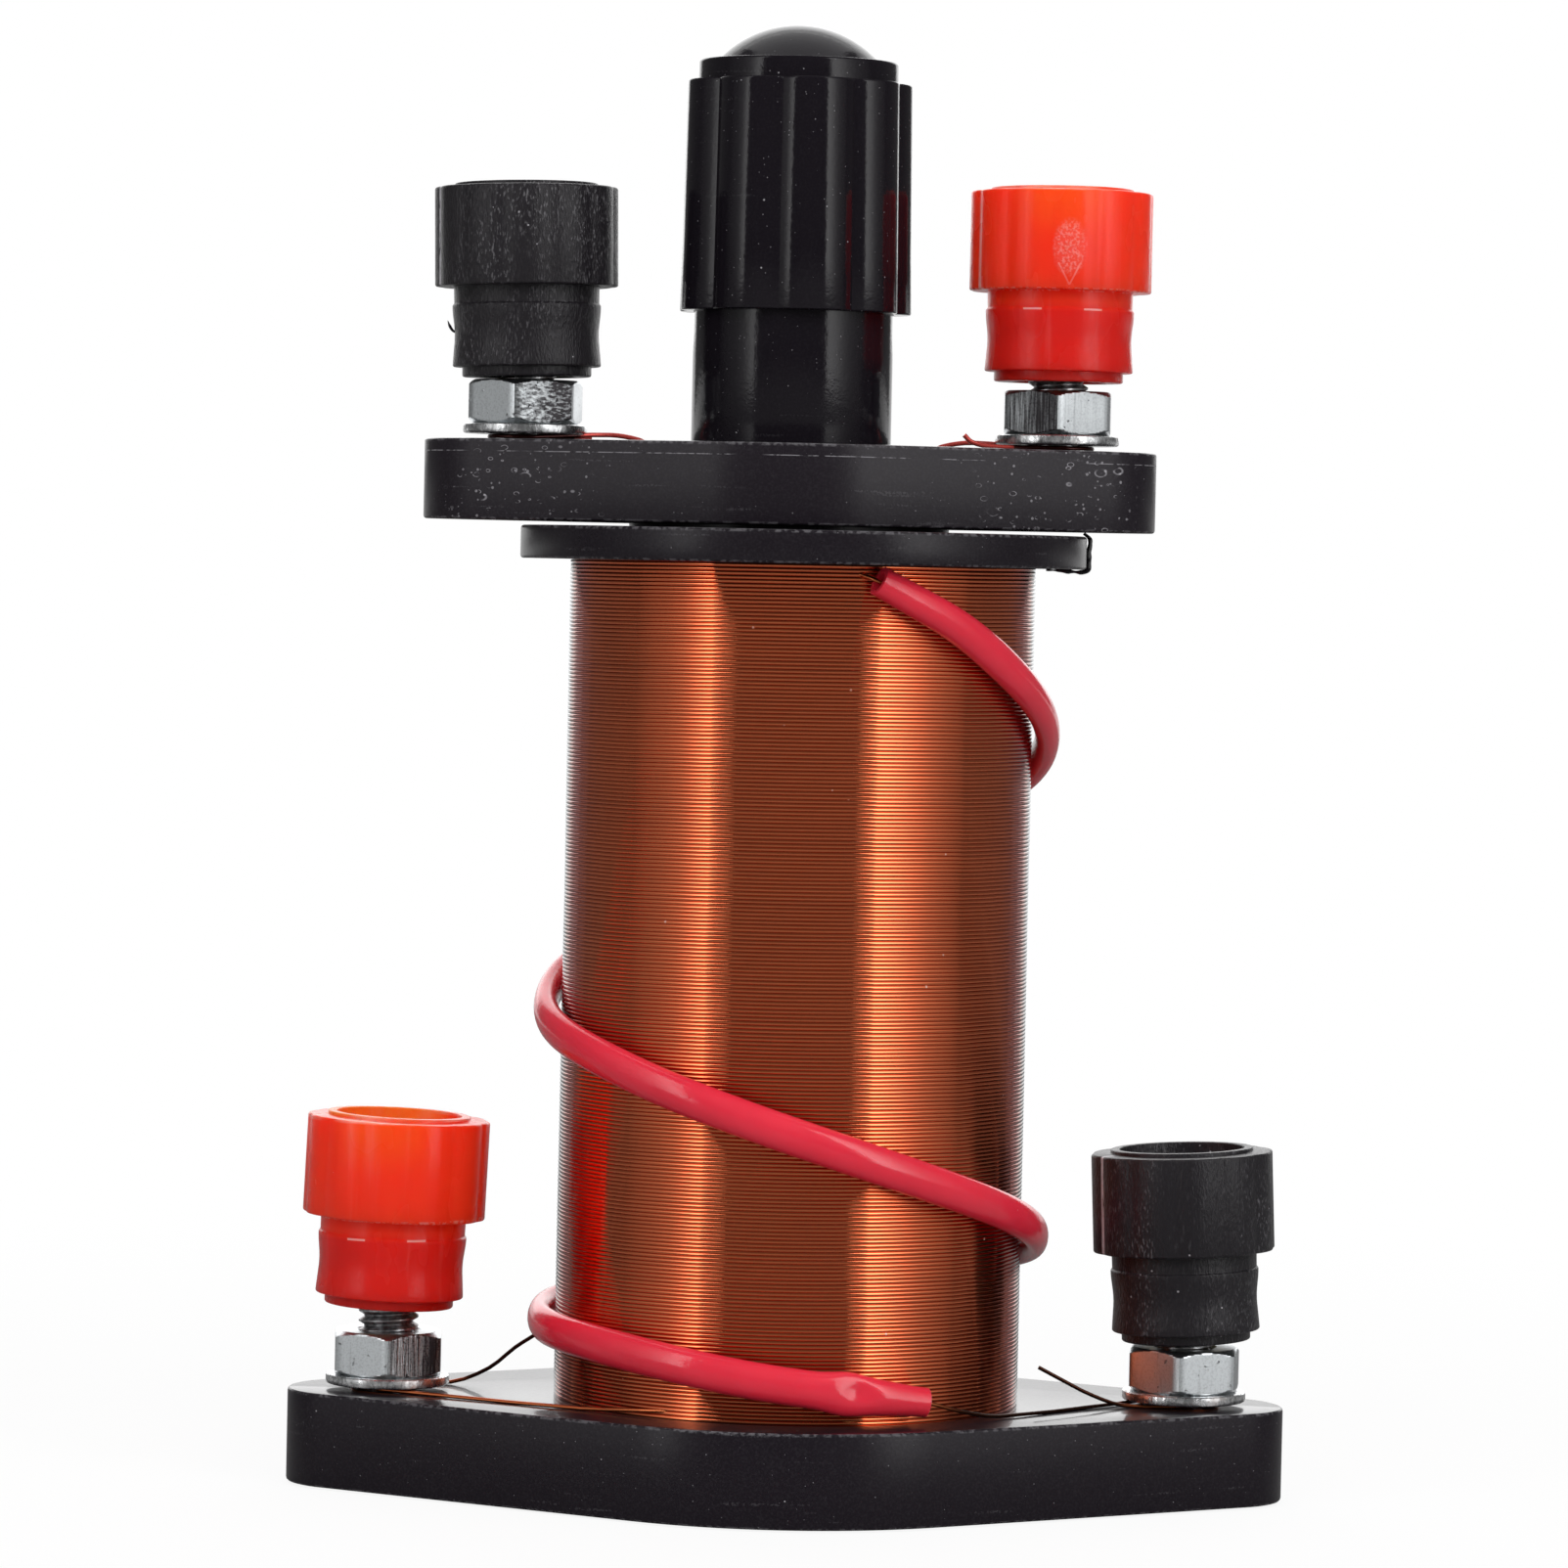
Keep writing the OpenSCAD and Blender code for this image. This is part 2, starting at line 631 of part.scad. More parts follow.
module primary_leads() {
    color(ENAMEL) {
        solid_tube(tube_rings(plate_lead(-1, left_loop, LEFT_TAIL), primary_wire_d / 2));
        solid_tube(tube_rings(plate_lead(1, right_loop, RIGHT_TAIL), primary_wire_d / 2));
    }
}

module plate_bolts() {
    color(STEEL) for (side = [-1, 1])
        translate([primary_x + side * plate_post_x, 0, plate_z])
            bolt(plate_nut_z + nut_h + stud_up - plate_z);
}

module plate_washers() {
    color(ZINC) for (side = [-1, 1])
        translate([primary_x + side * plate_post_x, 0, plate_top + plate_lift]) washer();
}

module plate_nuts() {
    color(ZINC) for (side = [0, 1])
        translate([primary_x + (2 * side - 1) * plate_post_x, 0, plate_nut_z])
            rotate(plate_nut_turn[side]) nut();
}

// Core and knob

module iron_core() {
    color(IRON) translate([primary_x, 0, 0]) difference() {
        translate([0, 0, core_z]) cylinder(d = core_d, h = web_z - core_z);
        translate([0, 0, web_z - screw_grip - seat]) cylinder(d = screw_d + 2 * fit, h = screw_grip + over);
    }
}

module core_neck() {
    color(BLACK) translate([primary_x, 0, neck_z]) difference() {
        cylinder(r = neck_r, h = neck_h + neck_grip);
        translate([0, 0, -over]) cylinder(d = core_d + 2 * fit, h = neck_h + neck_grip + 2 * over);
    }
}

module core_knob() {
    color(BLACK) translate([primary_x, 0, skirt_z]) difference() {
        union() {
            rotate(skirt_turn) linear_extrude(skirt_h) ribbed(skirt_ribs, skirt_r, rib_r);
            cylinder(r = shoulder_r, h = skirt_h + shoulder_h);
        }
        translate([0, 0, -over]) cylinder(r = neck_r + fit, h = neck_grip + over);
        cylinder(r = screw_d / 2 + hole_room, h = skirt_h);
        translate([0, 0, neck_grip + knob_web]) cylinder(r = spigot_r + fit, h = skirt_h);
    }
}

module knob_screw() {
    color(STEEL) translate([primary_x, 0, web_z - screw_grip]) {
        cylinder(d = screw_d, h = screw_grip + knob_web + fit);
        translate([0, 0, screw_grip + knob_web]) cylinder(r = screw_head_r, h = screw_head_h);
    }
}

module knob_dome() {
    dome_ball_r = (dome_r * dome_r + dome_h * dome_h) / (2 * dome_h);
    spigot_z = screw_head_z + screw_head_h + seat;
    color(BLACK) translate([primary_x, 0, 0]) {
        intersection() {
            translate([0, 0, knob_top + dome_h - dome_ball_r]) sphere(dome_ball_r);
            translate([0, 0, knob_top]) cylinder(r = dome_ball_r, h = dome_h + over);
        }
        translate([0, 0, spigot_z]) cylinder(r = spigot_r, h = knob_top - spigot_z + fit);
    }
}

// Screw caps and their inserts

module base_left_insert() { color(BRASS) on_base_post(0) insert_shape(); }
module base_left_cap() { color(RED) on_base_post(0) cap_shape(); }
module base_right_insert() { color(BRASS) on_base_post(1) insert_shape(); }
module base_right_cap() { color(CAP_BLACK) on_base_post(1) cap_shape(); }
module plate_left_insert() { color(BRASS) on_plate_post(0) insert_shape(); }
module plate_left_cap() { color(CAP_BLACK) on_plate_post(0) cap_shape(); }
module plate_right_insert() { color(BRASS) on_plate_post(1) insert_shape(); }
module plate_right_cap() { color(RED) on_plate_post(1) cap_shape(); }

echo(winding_gap = own_gap(winding_rings), sleeve_self_gap = own_gap(sleeve_rings));

base_plate();
secondary_bobbin();
secondary_layers();
secondary_winding();
lead_sleeve();
start_lead();
finish_lead();
base_bolts();
base_washers();
base_nuts();
primary_plate();
primary_bobbin();
primary_winding();
primary_leads();
plate_bolts();
plate_washers();
plate_nuts();
iron_core();
core_neck();
core_knob();
knob_screw();
knob_dome();
base_left_insert();
base_left_cap();
base_right_insert();
base_right_cap();
plate_left_insert();
plate_left_cap();
plate_right_insert();
plate_right_cap();
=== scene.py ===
# Primary and secondary coil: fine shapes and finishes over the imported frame.
# Shapes are modelled in millimetres and become metres when they are made pieces.
import math

import bmesh
import bpy
from mathutils import Matrix, Vector, noise
from mathutils.geometry import interpolate_bezier


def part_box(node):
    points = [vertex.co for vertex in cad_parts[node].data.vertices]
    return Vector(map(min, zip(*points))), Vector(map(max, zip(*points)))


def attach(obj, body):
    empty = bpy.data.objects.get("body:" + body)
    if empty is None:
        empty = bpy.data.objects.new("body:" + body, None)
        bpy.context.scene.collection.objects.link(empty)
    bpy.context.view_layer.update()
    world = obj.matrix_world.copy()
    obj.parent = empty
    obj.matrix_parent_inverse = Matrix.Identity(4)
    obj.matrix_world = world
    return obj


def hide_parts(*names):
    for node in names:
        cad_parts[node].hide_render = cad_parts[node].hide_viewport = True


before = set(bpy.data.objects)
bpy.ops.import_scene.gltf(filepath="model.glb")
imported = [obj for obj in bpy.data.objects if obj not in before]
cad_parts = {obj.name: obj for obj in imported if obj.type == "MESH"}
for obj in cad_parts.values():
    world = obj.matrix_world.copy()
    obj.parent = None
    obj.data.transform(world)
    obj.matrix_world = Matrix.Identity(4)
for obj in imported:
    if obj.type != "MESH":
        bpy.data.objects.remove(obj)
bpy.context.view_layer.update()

MM = 0.001
TURN = 2 * math.pi


def box_mm(node):
    """Lowest and highest corner of a CAD node, in millimetres."""
    low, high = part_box(node)
    return low / MM, high / MM


# Sizes that the frame gives

_, base_high = box_mm("base_plate")
bobbin_low, bobbin_high = box_mm("secondary_bobbin")
_, winding_high = box_mm("secondary_winding")
plate_low, plate_high = box_mm("primary_plate")
coil_low, coil_high = box_mm("primary_winding")
core_low, core_high = box_mm("iron_core")
neck_low, neck_high = box_mm("core_neck")
knob_low, knob_high = box_mm("core_knob")
dome_low, _ = box_mm("knob_dome")

base_top = base_high.z
flange_top = bobbin_high.z
plate_top = plate_high.z
primary_x = (plate_low.x + plate_high.x) / 2

# Sizes inside the pieces

BASE_END_R = 7.2
BASE_EDGE = 0.35
PLATE_END_R = 8.6
PLATE_EDGE = 0.3
BASE_POST_X = 40.0
PLATE_POST_X = 26.6
SOCKET_R = 19.25
BORE_R = 17.8
SECONDARY_TUBE_R = 19.2
FLANGE_T = 3.3
PRIMARY_BORE_R = 7.4
PRIMARY_TUBE_R = 8.9
PLATE_WEB = 2.0
SEAM_DROP = 1.25
LEAD_X = 14.3
LEAD_ARCH = 0.4
CORE_R = 7.0
NECK_GRIP = 12.0
KNOB_WEB = 4.0
SHOULDER_H = 2.1
SHOULDER_R = 10.05
SPIGOT_R = 6.8
DOME_R = 8.2
DOME_H = 3.7
SCREW_R = 2.0
FIT = 0.05

# Binding posts

STUD_R = 3.0
STUD_ROOM = 0.25
STUD_UP = 7.0
THREAD_PITCH = 1.0
THREAD_DEPTH = 0.55
THREAD_WALL = 0.8
NUT_AF = 10.6
NUT_H = 4.4
NUT_BEVEL = 0.2
HEAD_H = 3.9
POCKET_DEPTH = 4.3
WASHER_R = 6.2
WASHER_T = 1.0
SCRAPED_FLAT = {"base_left": 270, "base_right": 90, "plate_left": 270, "plate_right": 210}
NUT_TONE = {"base_left": 1.0, "base_right": 0.95, "plate_left": 1.0, "plate_right": 0.5}
SCRAPE_GRAIN = {"plate_left": (0.25, 0.25, 0.6)}
NUT_TURN = {"base_left": 33.5, "base_right": 22.0, "plate_left": 22.0, "plate_right": 27.5}

# Screw caps

RED_CAPS = ("base_left", "plate_right")
CAP_HEAD_R = 9.15
CAP_RIBS = 12
CAP_RIB_R = 5.0
CAP_TURN = {"base_left": -93, "base_right": -83, "plate_left": -87, "plate_right": -83}
CAP_FOOT_TO_HEAD = 9.0
CAP_H = 18.9
COLLAR_R = 6.45
COLLAR_H = 1.0
CAP_WAIST = [
    (7.42, COLLAR_H, 0.2), (7.32, 2.4, 0.6), (7.15, 4.3, 0.8), (7.42, 6.6, 0.5), (7.42, 7.15, 0.12),
    (7.25, 7.3, 0.1), (7.28, CAP_FOOT_TO_HEAD, 0),
]
CAP_RIBS_FROM = 7.6
# Bearing of the painted reflection on the black caps, from the cap's turn
CAP_PAINTED_REFLECTION_TURN = 15
CUP_R = 6.25
CUP_FLOOR = 7.1
LIP_WALL = 0.9
LIP_H = 0.4
INSERT_R = 4.5
INSERT_ROOM = 0.25
INSERT_BORE = 3.2
INSERT_LIFT = 0.3
CAP_GAP = {"base_left": 2.5, "base_right": 0.7, "plate_left": 0.3, "plate_right": 0.9}
CAP_LEAN = {"base_left": 2.2, "base_right": -2.6, "plate_left": -1.2, "plate_right": 0.0}

# Knob

SKIRT_RIBS = 9
SKIRT_TURN = -78.0
SKIRT_R = 11.75
SKIRT_DRAFT = 0.3
RIB_R = 5.0

# Wires and the sleeve

WIRE_D = 0.4
PRIMARY_WIRE_D = 0.5
SLEEVE_W = 3.7
SLEEVE_MOUTH_W = 3.0
SLEEVE_MOUTH_L = 16.0
SLEEVE_T = 2.5
SLEEVE_WALL = 0.5
SLEEVE_R = 24.8
SLEEVE_ENDS = (3.9, 3.1)
CREASE_SPREAD = 0.18
CREASE_PRESS = 0.12
CREASE_DEPTH = 0.4
END_PINCH = 0.22
WINDING_H = 83.6
WINDING_TURNS = 213
WINDING_WALL = 0.9
WINDING_STEPS = 72
WINDING_TURNED = -104
GROOVE_DEPTH = 0.10
WINDING_PROUD = 0.04
TURN_SLACK = 0.02
LAYER_SLACK = 0.035
LAYER_WAVE = 9

# Routes, nearly those of the solids: bearing from the front towards the right and share
# of the winding's height for the sleeve, X, Y and height from the middle or the post for the leads

SLEEVE_ROUTE = [
    (25, 0.962), (37, 0.932), (60, 0.867), (90, 0.796), (135, 0.707), (180, 0.623), (225, 0.539),
    (270, 0.467), (310, 0.418), (335, 0.38), (360, 0.339), (405, 0.264), (450, 0.198), (495, 0.152),
    (540, 0.121), (585, 0.103), (630, 0.0905), (675, 0.0795), (720, 0.0485), (746, 0.032),
]
START_RUN = [(-12.4, -19.7, 0.75), (-20, -15.2, 0.25)]
FINISH_RUN = [(17, -18.4, 1.2), (21, -14.8, 0.3)]
START_TAIL = [(6.2, 3.6, 0.25), (10, 4, 1.7), (12.6, 4.4, 3.8), (14.6, 4.75, 5.1)]
FINISH_TAIL = [(-6.2, -3.7, 0.25), (-9.5, -4, 1.3), (-12.5, -4.4, 2.8), (-14.8, -4.6, 4)]
LEFT_TAIL = [(6.6, 3.5, 0.3)]
RIGHT_TAIL = [(-6.6, -3.7, 0.3), (-8.6, -3.9, 0.7), (-9.4, -4, 1.4)]
START_LOOP = 150
FINISH_LOOP = 220
LEFT_LOOP = 180
RIGHT_LOOP = 215
LOOP_STEP = 12
START_TURN = [(60, 0.25), (30, 0.3), (8, 0.42)]
FINISH_TURN = [(-40, 0.2), (-10, 0.22), (8, 0.35), (13, 0.8)]
MOUTH_SAG = 0.5
SAG_POINTS = 12

POST_X = {
    "base_left": -BASE_POST_X,
    "base_right": BASE_POST_X,
    "plate_left": primary_x - PLATE_POST_X,
    "plate_right": primary_x + PLATE_POST_X,
}


# Shader maths


class Value:
    """A shader socket whose arithmetic adds Math nodes to its material."""

    def __init__(self, paint, socket):
        self.paint = paint
        self.socket = socket

    def __add__(self, other):
        return self.paint.math("ADD", self, other)

    __radd__ = __add__

    def __sub__(self, other):
        return self.paint.math("SUBTRACT", self, other)

    def __rsub__(self, other):
        return self.paint.math("SUBTRACT", other, self)

    def __mul__(self, other):
        return self.paint.math("MULTIPLY", self, other)

    __rmul__ = __mul__

    def __truediv__(self, other):
        return self.paint.math("DIVIDE", self, other)

    def __lt__(self, other):
        return self.paint.math("LESS_THAN", self, other)

    def __gt__(self, other):
        return self.paint.math("GREATER_THAN", self, other)

    def __abs__(self):
        return self.paint.math("ABSOLUTE", self, 0.0)


class Node:
    """A shader node whose outputs are read by name or number."""

    def __init__(self, paint, node):
        self.paint = paint
        self.node = node

    def __getitem__(self, output):
        return Value(self.paint, self.node.outputs[output])


class Paint:
    """A node tree, with one method for any node and short ones for what repeats."""

    def __init__(self, tree):
        self.tree = tree
        self.tree.nodes.clear()

    def node(self, kind, settings=(), sockets=()):
        made = self.tree.nodes.new(kind)
        for key, setting in dict(settings).items():
            if key == "stops":
                self.set_stops(made.color_ramp, setting)
            else:
                setattr(made, key, setting)
        for key, value in dict(sockets).items():
            if isinstance(value, Value):
                self.tree.links.new(value.socket, made.inputs[key])
            else:
                made.inputs[key].default_value = value
        return Node(self, made)

    @staticmethod
    def set_stops(ramp, stops):
        while len(ramp.elements) < len(stops):
            ramp.elements.new(1.0)
        for element, (position, colour) in zip(ramp.elements, stops):
            element.position = position
            element.color = (*colour, 1.0)

    def math(self, operation, a, b):
        return self.node("ShaderNodeMath", {"operation": operation}, {0: a, 1: b})["Value"]

    def mix(self, share, a, b):
        """A colour from a to b."""
        a, b = (x if isinstance(x, Value) else (*x, 1.0) for x in (a, b))
        return self.node("ShaderNodeMix", {"data_type": "RGBA"}, {0: share, 6: a, 7: b})[2]

    def step(self, value, low, high):
        """0 up to low, 1 from high, smooth between."""
        return self.node(
            "ShaderNodeMapRange",
            {"interpolation_type": "SMOOTHSTEP"},
            {"Value": value, "From Min": low, "From Max": high},
        )["Result"]

    def place(self, scale=(1, 1, 1), at=(0, 0, 0)):
        """Object coordinates, centred on a point and stretched."""
        where = self.node("ShaderNodeTexCoord")["Object"]
        shift = [-a * s for a, s in zip(at, scale)]
        made = self.node("ShaderNodeMapping", {}, {"Vector": where, "Location": shift, "Scale": scale})
        return made["Vector"]

    def axes(self, vector):
        split = self.node("ShaderNodeSeparateXYZ", {}, {0: vector})
        return split["X"], split["Y"], split["Z"]

    def noise(self, scale, detail, stretch=(1, 1, 1)):
        return self.node(
            "ShaderNodeTexNoise",
            {},
            {"Vector": self.place(stretch), "Scale": scale, "Detail": detail},
        )["Fac"]

    def cells(self, size, stretch=(1, 1, 1)):
        """Distance from the middle of a cell of this size in metres, and a number of the cell's own."""
        made = self.node(
            "ShaderNodeTexVoronoi", {}, {"Vector": self.place(stretch), "Scale": 1 / size}
        )
        own = self.node("ShaderNodeSeparateColor", {}, {0: made["Color"]})
        return made["Distance"], own["Red"], own["Green"]

    def specks(self, cell, share, size):
        """Small round specks in a share of the cells, up to a size in cells."""
        distance, kept, big = self.cells(cell)
        return (distance < big * size) * (kept < share)

    def rings(self, cell, share, stretch):
        """Thin broken rings in a share of the cells."""
        distance, kept, wide = self.cells(cell, stretch)
        edge = abs(distance - (wide * 0.22 + 0.08))
        broken = self.step(self.noise(1.3 / cell, 2), 0.46, 0.60)
        return self.step(0.05 - edge, 0.0, 0.04) * (kept < share) * broken

    def ridge(self, x, y, bearing, wide):
        """A thin upright line on a round wall, at a bearing from the front towards the right."""
        a = math.radians(bearing)
        outwards = x * math.sin(a) - y * math.cos(a)
        aside = abs(x * math.cos(a) + y * math.sin(a))
        return (1 - self.step(aside, wide * 0.5, wide)) * (outwards > 0)

    def bump(self, height, distance):
        return self.node("ShaderNodeBump", {}, {"Height": height, "Distance": distance})["Normal"]

    def finish(self, sockets):
        shader = self.node("ShaderNodeBsdfPrincipled", {}, sockets)
        self.node("ShaderNodeOutputMaterial", {}, {"Surface": shader["BSDF"]})


def material(name):
    made = bpy.data.materials.new(name)
    made.use_nodes = True
    return made, Paint(made.node_tree)


# Finishes, with places on the pieces in metres

SCUFF_FROM = (0.0175, 0.0200)
SCUFF_TO = (0.0325, 0.0350)
CAP_SKIN_R = 0.0083
MARK_X = 0.0005
MARK_Z = 0.0131
MARK_W = 0.0018
MARK_H = 0.0030
MARK_TAIL = (0.0094, 0.0116)
START_DARK_FROM = (0.0205, 0.0225)
FINISH_DARK_FROM = (0.0155, 0.0195)
FINISH_DARK_TO = (0.0345, 0.0365)


def black_moulding(name, colour, rough, dust, band=None, scuffs=0.0, haze=0.012, shiny_top=False):
    """Satin black moulding with fine dust, painted highlights along the edges of a band, and scuffed
    ends or a shiny top.
    """
    made, paint = material(name)
    across, _, height = paint.axes(paint.place(at=(primary_x * MM, 0, 0)))
    cloud = paint.noise(60, 3)
    fine = paint.noise(1800, 2)
    grain = paint.noise(4200, 2)
    drag = paint.noise(420, 3, (0.2, 0.2, 4))
    specks = paint.specks(0.0012, dust, 0.08)
    grime = paint.specks(0.0004, dust * 0.8, 0.16)
    scratches = paint.step(drag, 0.64, 0.72) * paint.step(grain, 0.45, 0.6)
    pale = specks * 0.45 + grime * 0.25 + scratches * haze * 4 + paint.step(grain, 0.40, 0.75) * haze
    relief = fine * 0.5 + specks * 0.6 + grain * 0.3
    dullness = rough + (cloud - 0.5) * 0.10 + (fine - 0.5) * 0.05
    if band:
        low, high = (z * MM for z in band)
        # Painted highlight: broken pale lines along the top and bottom edges of the band.
        rim = paint.step(height, high - 0.0004, high - 0.0002) * (height < high - 0.00003)
        foot = (1 - paint.step(height, low + 0.00015, low + 0.0003)) * (height > low + 0.00003)
        pale = pale + (rim + foot) * paint.step(fine, 0.44, 0.62) * 0.12
        dullness = dullness + (height < low + 0.00003) * 0.5
    if scuffs:
        ends = paint.step(abs(across), *SCUFF_FROM) * (1 - paint.step(abs(across), *SCUFF_TO))
        ends = ends * paint.step(paint.noise(90, 2), 0.30, 0.46)
        dots = paint.specks(0.0008, 0.8, 0.2) * 0.7
        small = paint.rings(0.0010, 0.8, (0.75, 0.75, 1.3))
        large = paint.rings(0.0019, 0.5, (0.75, 0.75, 1.2))
        worn = (small + large * 0.7 + dots) * ends
        seam = abs(height - (high - SEAM_DROP * MM)) < 0.00005
        seam = seam * paint.step(paint.noise(150, 2), 0.44, 0.52)
        pale = pale + worn * scuffs + seam * paint.step(fine, 0.35, 0.55) * 0.3
        relief = relief + worn + seam * 2
    sockets = {
        "Base Color": paint.mix(pale, colour, (0.60, 0.58, 0.62)),
        "Roughness": dullness + pale * 0.4,
        "IOR": 1.30,
        "Normal": paint.bump(relief, 0.00002),
    }
    if shiny_top:
        sockets["Coat Weight"] = paint.step(height, high - 0.0002, high - 0.00005) * (0.5 - pale * 0.5)
        sockets["Coat Roughness"] = 0.05
        sockets["Coat IOR"] = 1.45
    paint.finish(sockets)
    return made


def matt_cap(name, middle, ridge):
    """Black cap with a dull, speckled skin that glints, and a painted reflection down the head at a
    bearing.
    """
    made, paint = material(name)
    x, y, _ = paint.axes(paint.place(at=(middle * MM, 0, 0)))
    cloud = paint.noise(240, 3)
    grain = paint.noise(5200, 3, (1, 1, 0.35))
    brushed = paint.noise(1500, 2, (1.6, 1.6, 0.5))
    patch = paint.noise(200, 3, (1, 1, 0.25))
    flecks = paint.step(grain, 0.54, 0.70) * paint.step(patch, 0.42, 0.60)
    specks = paint.specks(0.0009, 0.2, 0.12)
    head = paint.math("SQRT", x * x + y * y, 0.0) > CAP_SKIN_R
    # Painted reflection: a thin pale line down the head at one bearing, for the backdrop seen in a
    # rib's edge.
    line = paint.ridge(x, y, ridge, 0.00045) * head * paint.step(brushed, 0.3, 0.45)
    pale = flecks * 0.15 + specks * 0.5 + paint.step(brushed, 0.6, 0.75) * 0.03 + line * 0.8
    paint.finish({
        "Base Color": paint.mix(pale, (0.0118, 0.0100, 0.0124), (0.62, 0.60, 0.64)),
        "Roughness": 0.35 + (cloud - 0.5) * 0.2 + flecks * 0.1,
        "IOR": 1.38,
        "Normal": paint.bump(grain + brushed * 0.6 + specks * 0.4, 0.00009),
    })
    return made


def clear_red_cap(name, middle, foot, marked):
    """Orange-red cap, its head and cup painted brighter for light that shines into it, with painted
    highlights on its rims and, if marked, a pale patch in front.
    """
    made, paint = material(name)
    x, y, height = paint.axes(paint.place(at=(middle * MM, 0, foot * MM)))
    radius = paint.math("SQRT", x * x + y * y, 0.0)
    # Painted light: the head above the cup floor is painted brighter orange than the body, brightest at
    # its top middle, and the inside of the cup brighter still, for light that shines through the thin
    # walls.
    hollow = paint.step(height, (CUP_FLOOR - 0.4) * MM, (CUP_FLOOR + 1.0) * MM)
    inside = hollow * (1 - paint.step(radius, (CUP_R + 0.2) * MM, (CUP_R + 0.7) * MM))
    crown = paint.step(height, (CAP_H - 6.0) * MM, (CAP_H - 0.5) * MM)
    crown = crown * (1 - paint.step(abs(x), 0.002, 0.0065))
    cloud = paint.noise(150, 3, (1, 1, 0.5))
    streak = paint.noise(700, 3, (1, 1, 0.06))
    fine = paint.noise(2400, 2)
    specks = paint.specks(0.0013, 0.12, 0.09)
    # Painted highlights: broken pale lines along the top rim and the lower edge of the head.
    rim = paint.step(height, (CAP_H - 0.2) * MM, CAP_H * MM) * (1 - inside)
    rim = rim * paint.step(cloud, 0.3, 0.6)
    edge = (abs(height - CAP_FOOT_TO_HEAD * MM) < 0.00016) * paint.step(fine, 0.45, 0.6)
    dash = (abs(height - CUP_FLOOR * MM) < 0.00010) * (abs(abs(x) - 0.003) < 0.0009) * (y < 0)
    deep = paint.mix(cloud, (0.60, 0.010, 0.008), (0.76, 0.020, 0.013))
    glow = paint.mix(crown * 0.7 + cloud * 0.3, (0.96, 0.030, 0.012), (1.0, 0.085, 0.010))
    shade = paint.mix(inside, paint.mix(hollow, deep, glow), (1.0, 0.17, 0.02))
    pale = specks * 0.5 + rim * 0.35 + edge * 0.25 + dash * 0.6 + paint.step(streak, 0.58, 0.76) * 0.05
    relief = streak + cloud + fine * 0.4
    if marked:
        aside = x - MARK_X
        up = height - MARK_Z
        low, high = MARK_TAIL
        oval = 1 - paint.step(aside * aside / MARK_W**2 + up * up / MARK_H**2, 0.3, 1.1)
        mottle = paint.step(paint.noise(3600, 3), 0.42, 0.66)
        tail = abs(abs(aside) - (height - low) * 0.5) < 0.00009
        tail = tail * (height > low) * (height < high)
        stripe = paint.ridge(x, y, -66, 0.0005) * (radius > CAP_SKIN_R) * 0.35
        mark = (oval * (mottle * 0.30 + 0.08) + tail * 0.2) * (y < 0)
        pale = pale + mark + stripe
        relief = relief + mark * 3
    paint.finish({
        "Base Color": paint.mix(pale, shade, (1.0, 0.55, 0.50)),
        "Roughness": 0.27 + (cloud - 0.5) * 0.2,
        "Subsurface Weight": 0.8,
        "Subsurface Radius": (1.0, 0.14, 0.06),
        "Subsurface Scale": 0.006,
        "IOR": 1.30,
        "Normal": paint.bump(relief, 0.00006),
    })
    return made


def enamelled_wire(name, dark, bright, rough, metal=1.0, ends=None, varnish=0.0, rim=1.0):
    """Copper wire under brown enamel, with turns that differ a little, dark ends by the base, painted
    shade under the plate's washers, or a varnish coat.
    """
    made, paint = material(name)
    turns = paint.noise(2400, 1, (0.01, 0.01, 1))
    cloud = paint.noise(90, 3, (1, 1, 2))
    shade = paint.mix(turns * 0.6 + cloud * 0.4, dark, bright)
    specks = paint.specks(0.0016, 0.05, 0.1)
    shade = paint.mix(specks * 0.5, shade, (0.7, 0.6, 0.55))
    x, y, height = paint.axes(paint.place(at=(primary_x * MM, 0, base_top * MM)))
    if ends == "base":
        right = paint.step(x, *FINISH_DARK_FROM) * (1 - paint.step(x, *FINISH_DARK_TO))
        right = right * (height < 0.008)
        left = paint.step(-1 * x, *START_DARK_FROM) * paint.step(height, 0.0005, 0.0009)
        shade = paint.mix((right + left) * 0.92, shade, (0.020, 0.012, 0.010))
    if ends == "plate":
        # Painted shade: the wire under the plate's washers is painted nearly black.
        post = abs(x) - PLATE_POST_X * MM
        painted_washer_shade = post * post + y * y < (WASHER_R - 0.4) ** 2 * MM**2
        shade = paint.mix(painted_washer_shade * 0.9, shade, (0.030, 0.008, 0.007))
    paint.finish({
        "Base Color": shade,
        "Roughness": rough + (cloud - 0.5) * 0.12,
        "Metallic": metal - specks * 0.6,
        "Specular Tint": (rim, rim, rim, 1.0),
        "Coat Weight": varnish,
        "Coat Roughness": 0.1,
    })
    return made


def sleeve_rubber(name):
    """Crimson insulating sleeve with a soft shine."""
    made, paint = material(name)
    cloud = paint.noise(120, 3)
    fine = paint.noise(1500, 2)
    specks = paint.specks(0.0014, 0.05, 0.10)
    shade = paint.mix(cloud, (0.68, 0.018, 0.042), (0.88, 0.036, 0.068))
    paint.finish({
        "Base Color": paint.mix(specks * 0.4, shade, (0.85, 0.5, 0.55)),
        "Roughness": 0.17 + (fine - 0.5) * 0.08,
        "IOR": 1.5,
        "Subsurface Weight": 0.3,
        "Subsurface Radius": (1.0, 0.2, 0.2),
        "Subsurface Scale": 0.0015,
        "Normal": paint.bump(fine * 0.6 + cloud * 3.0, 0.00003),
    })
    return made


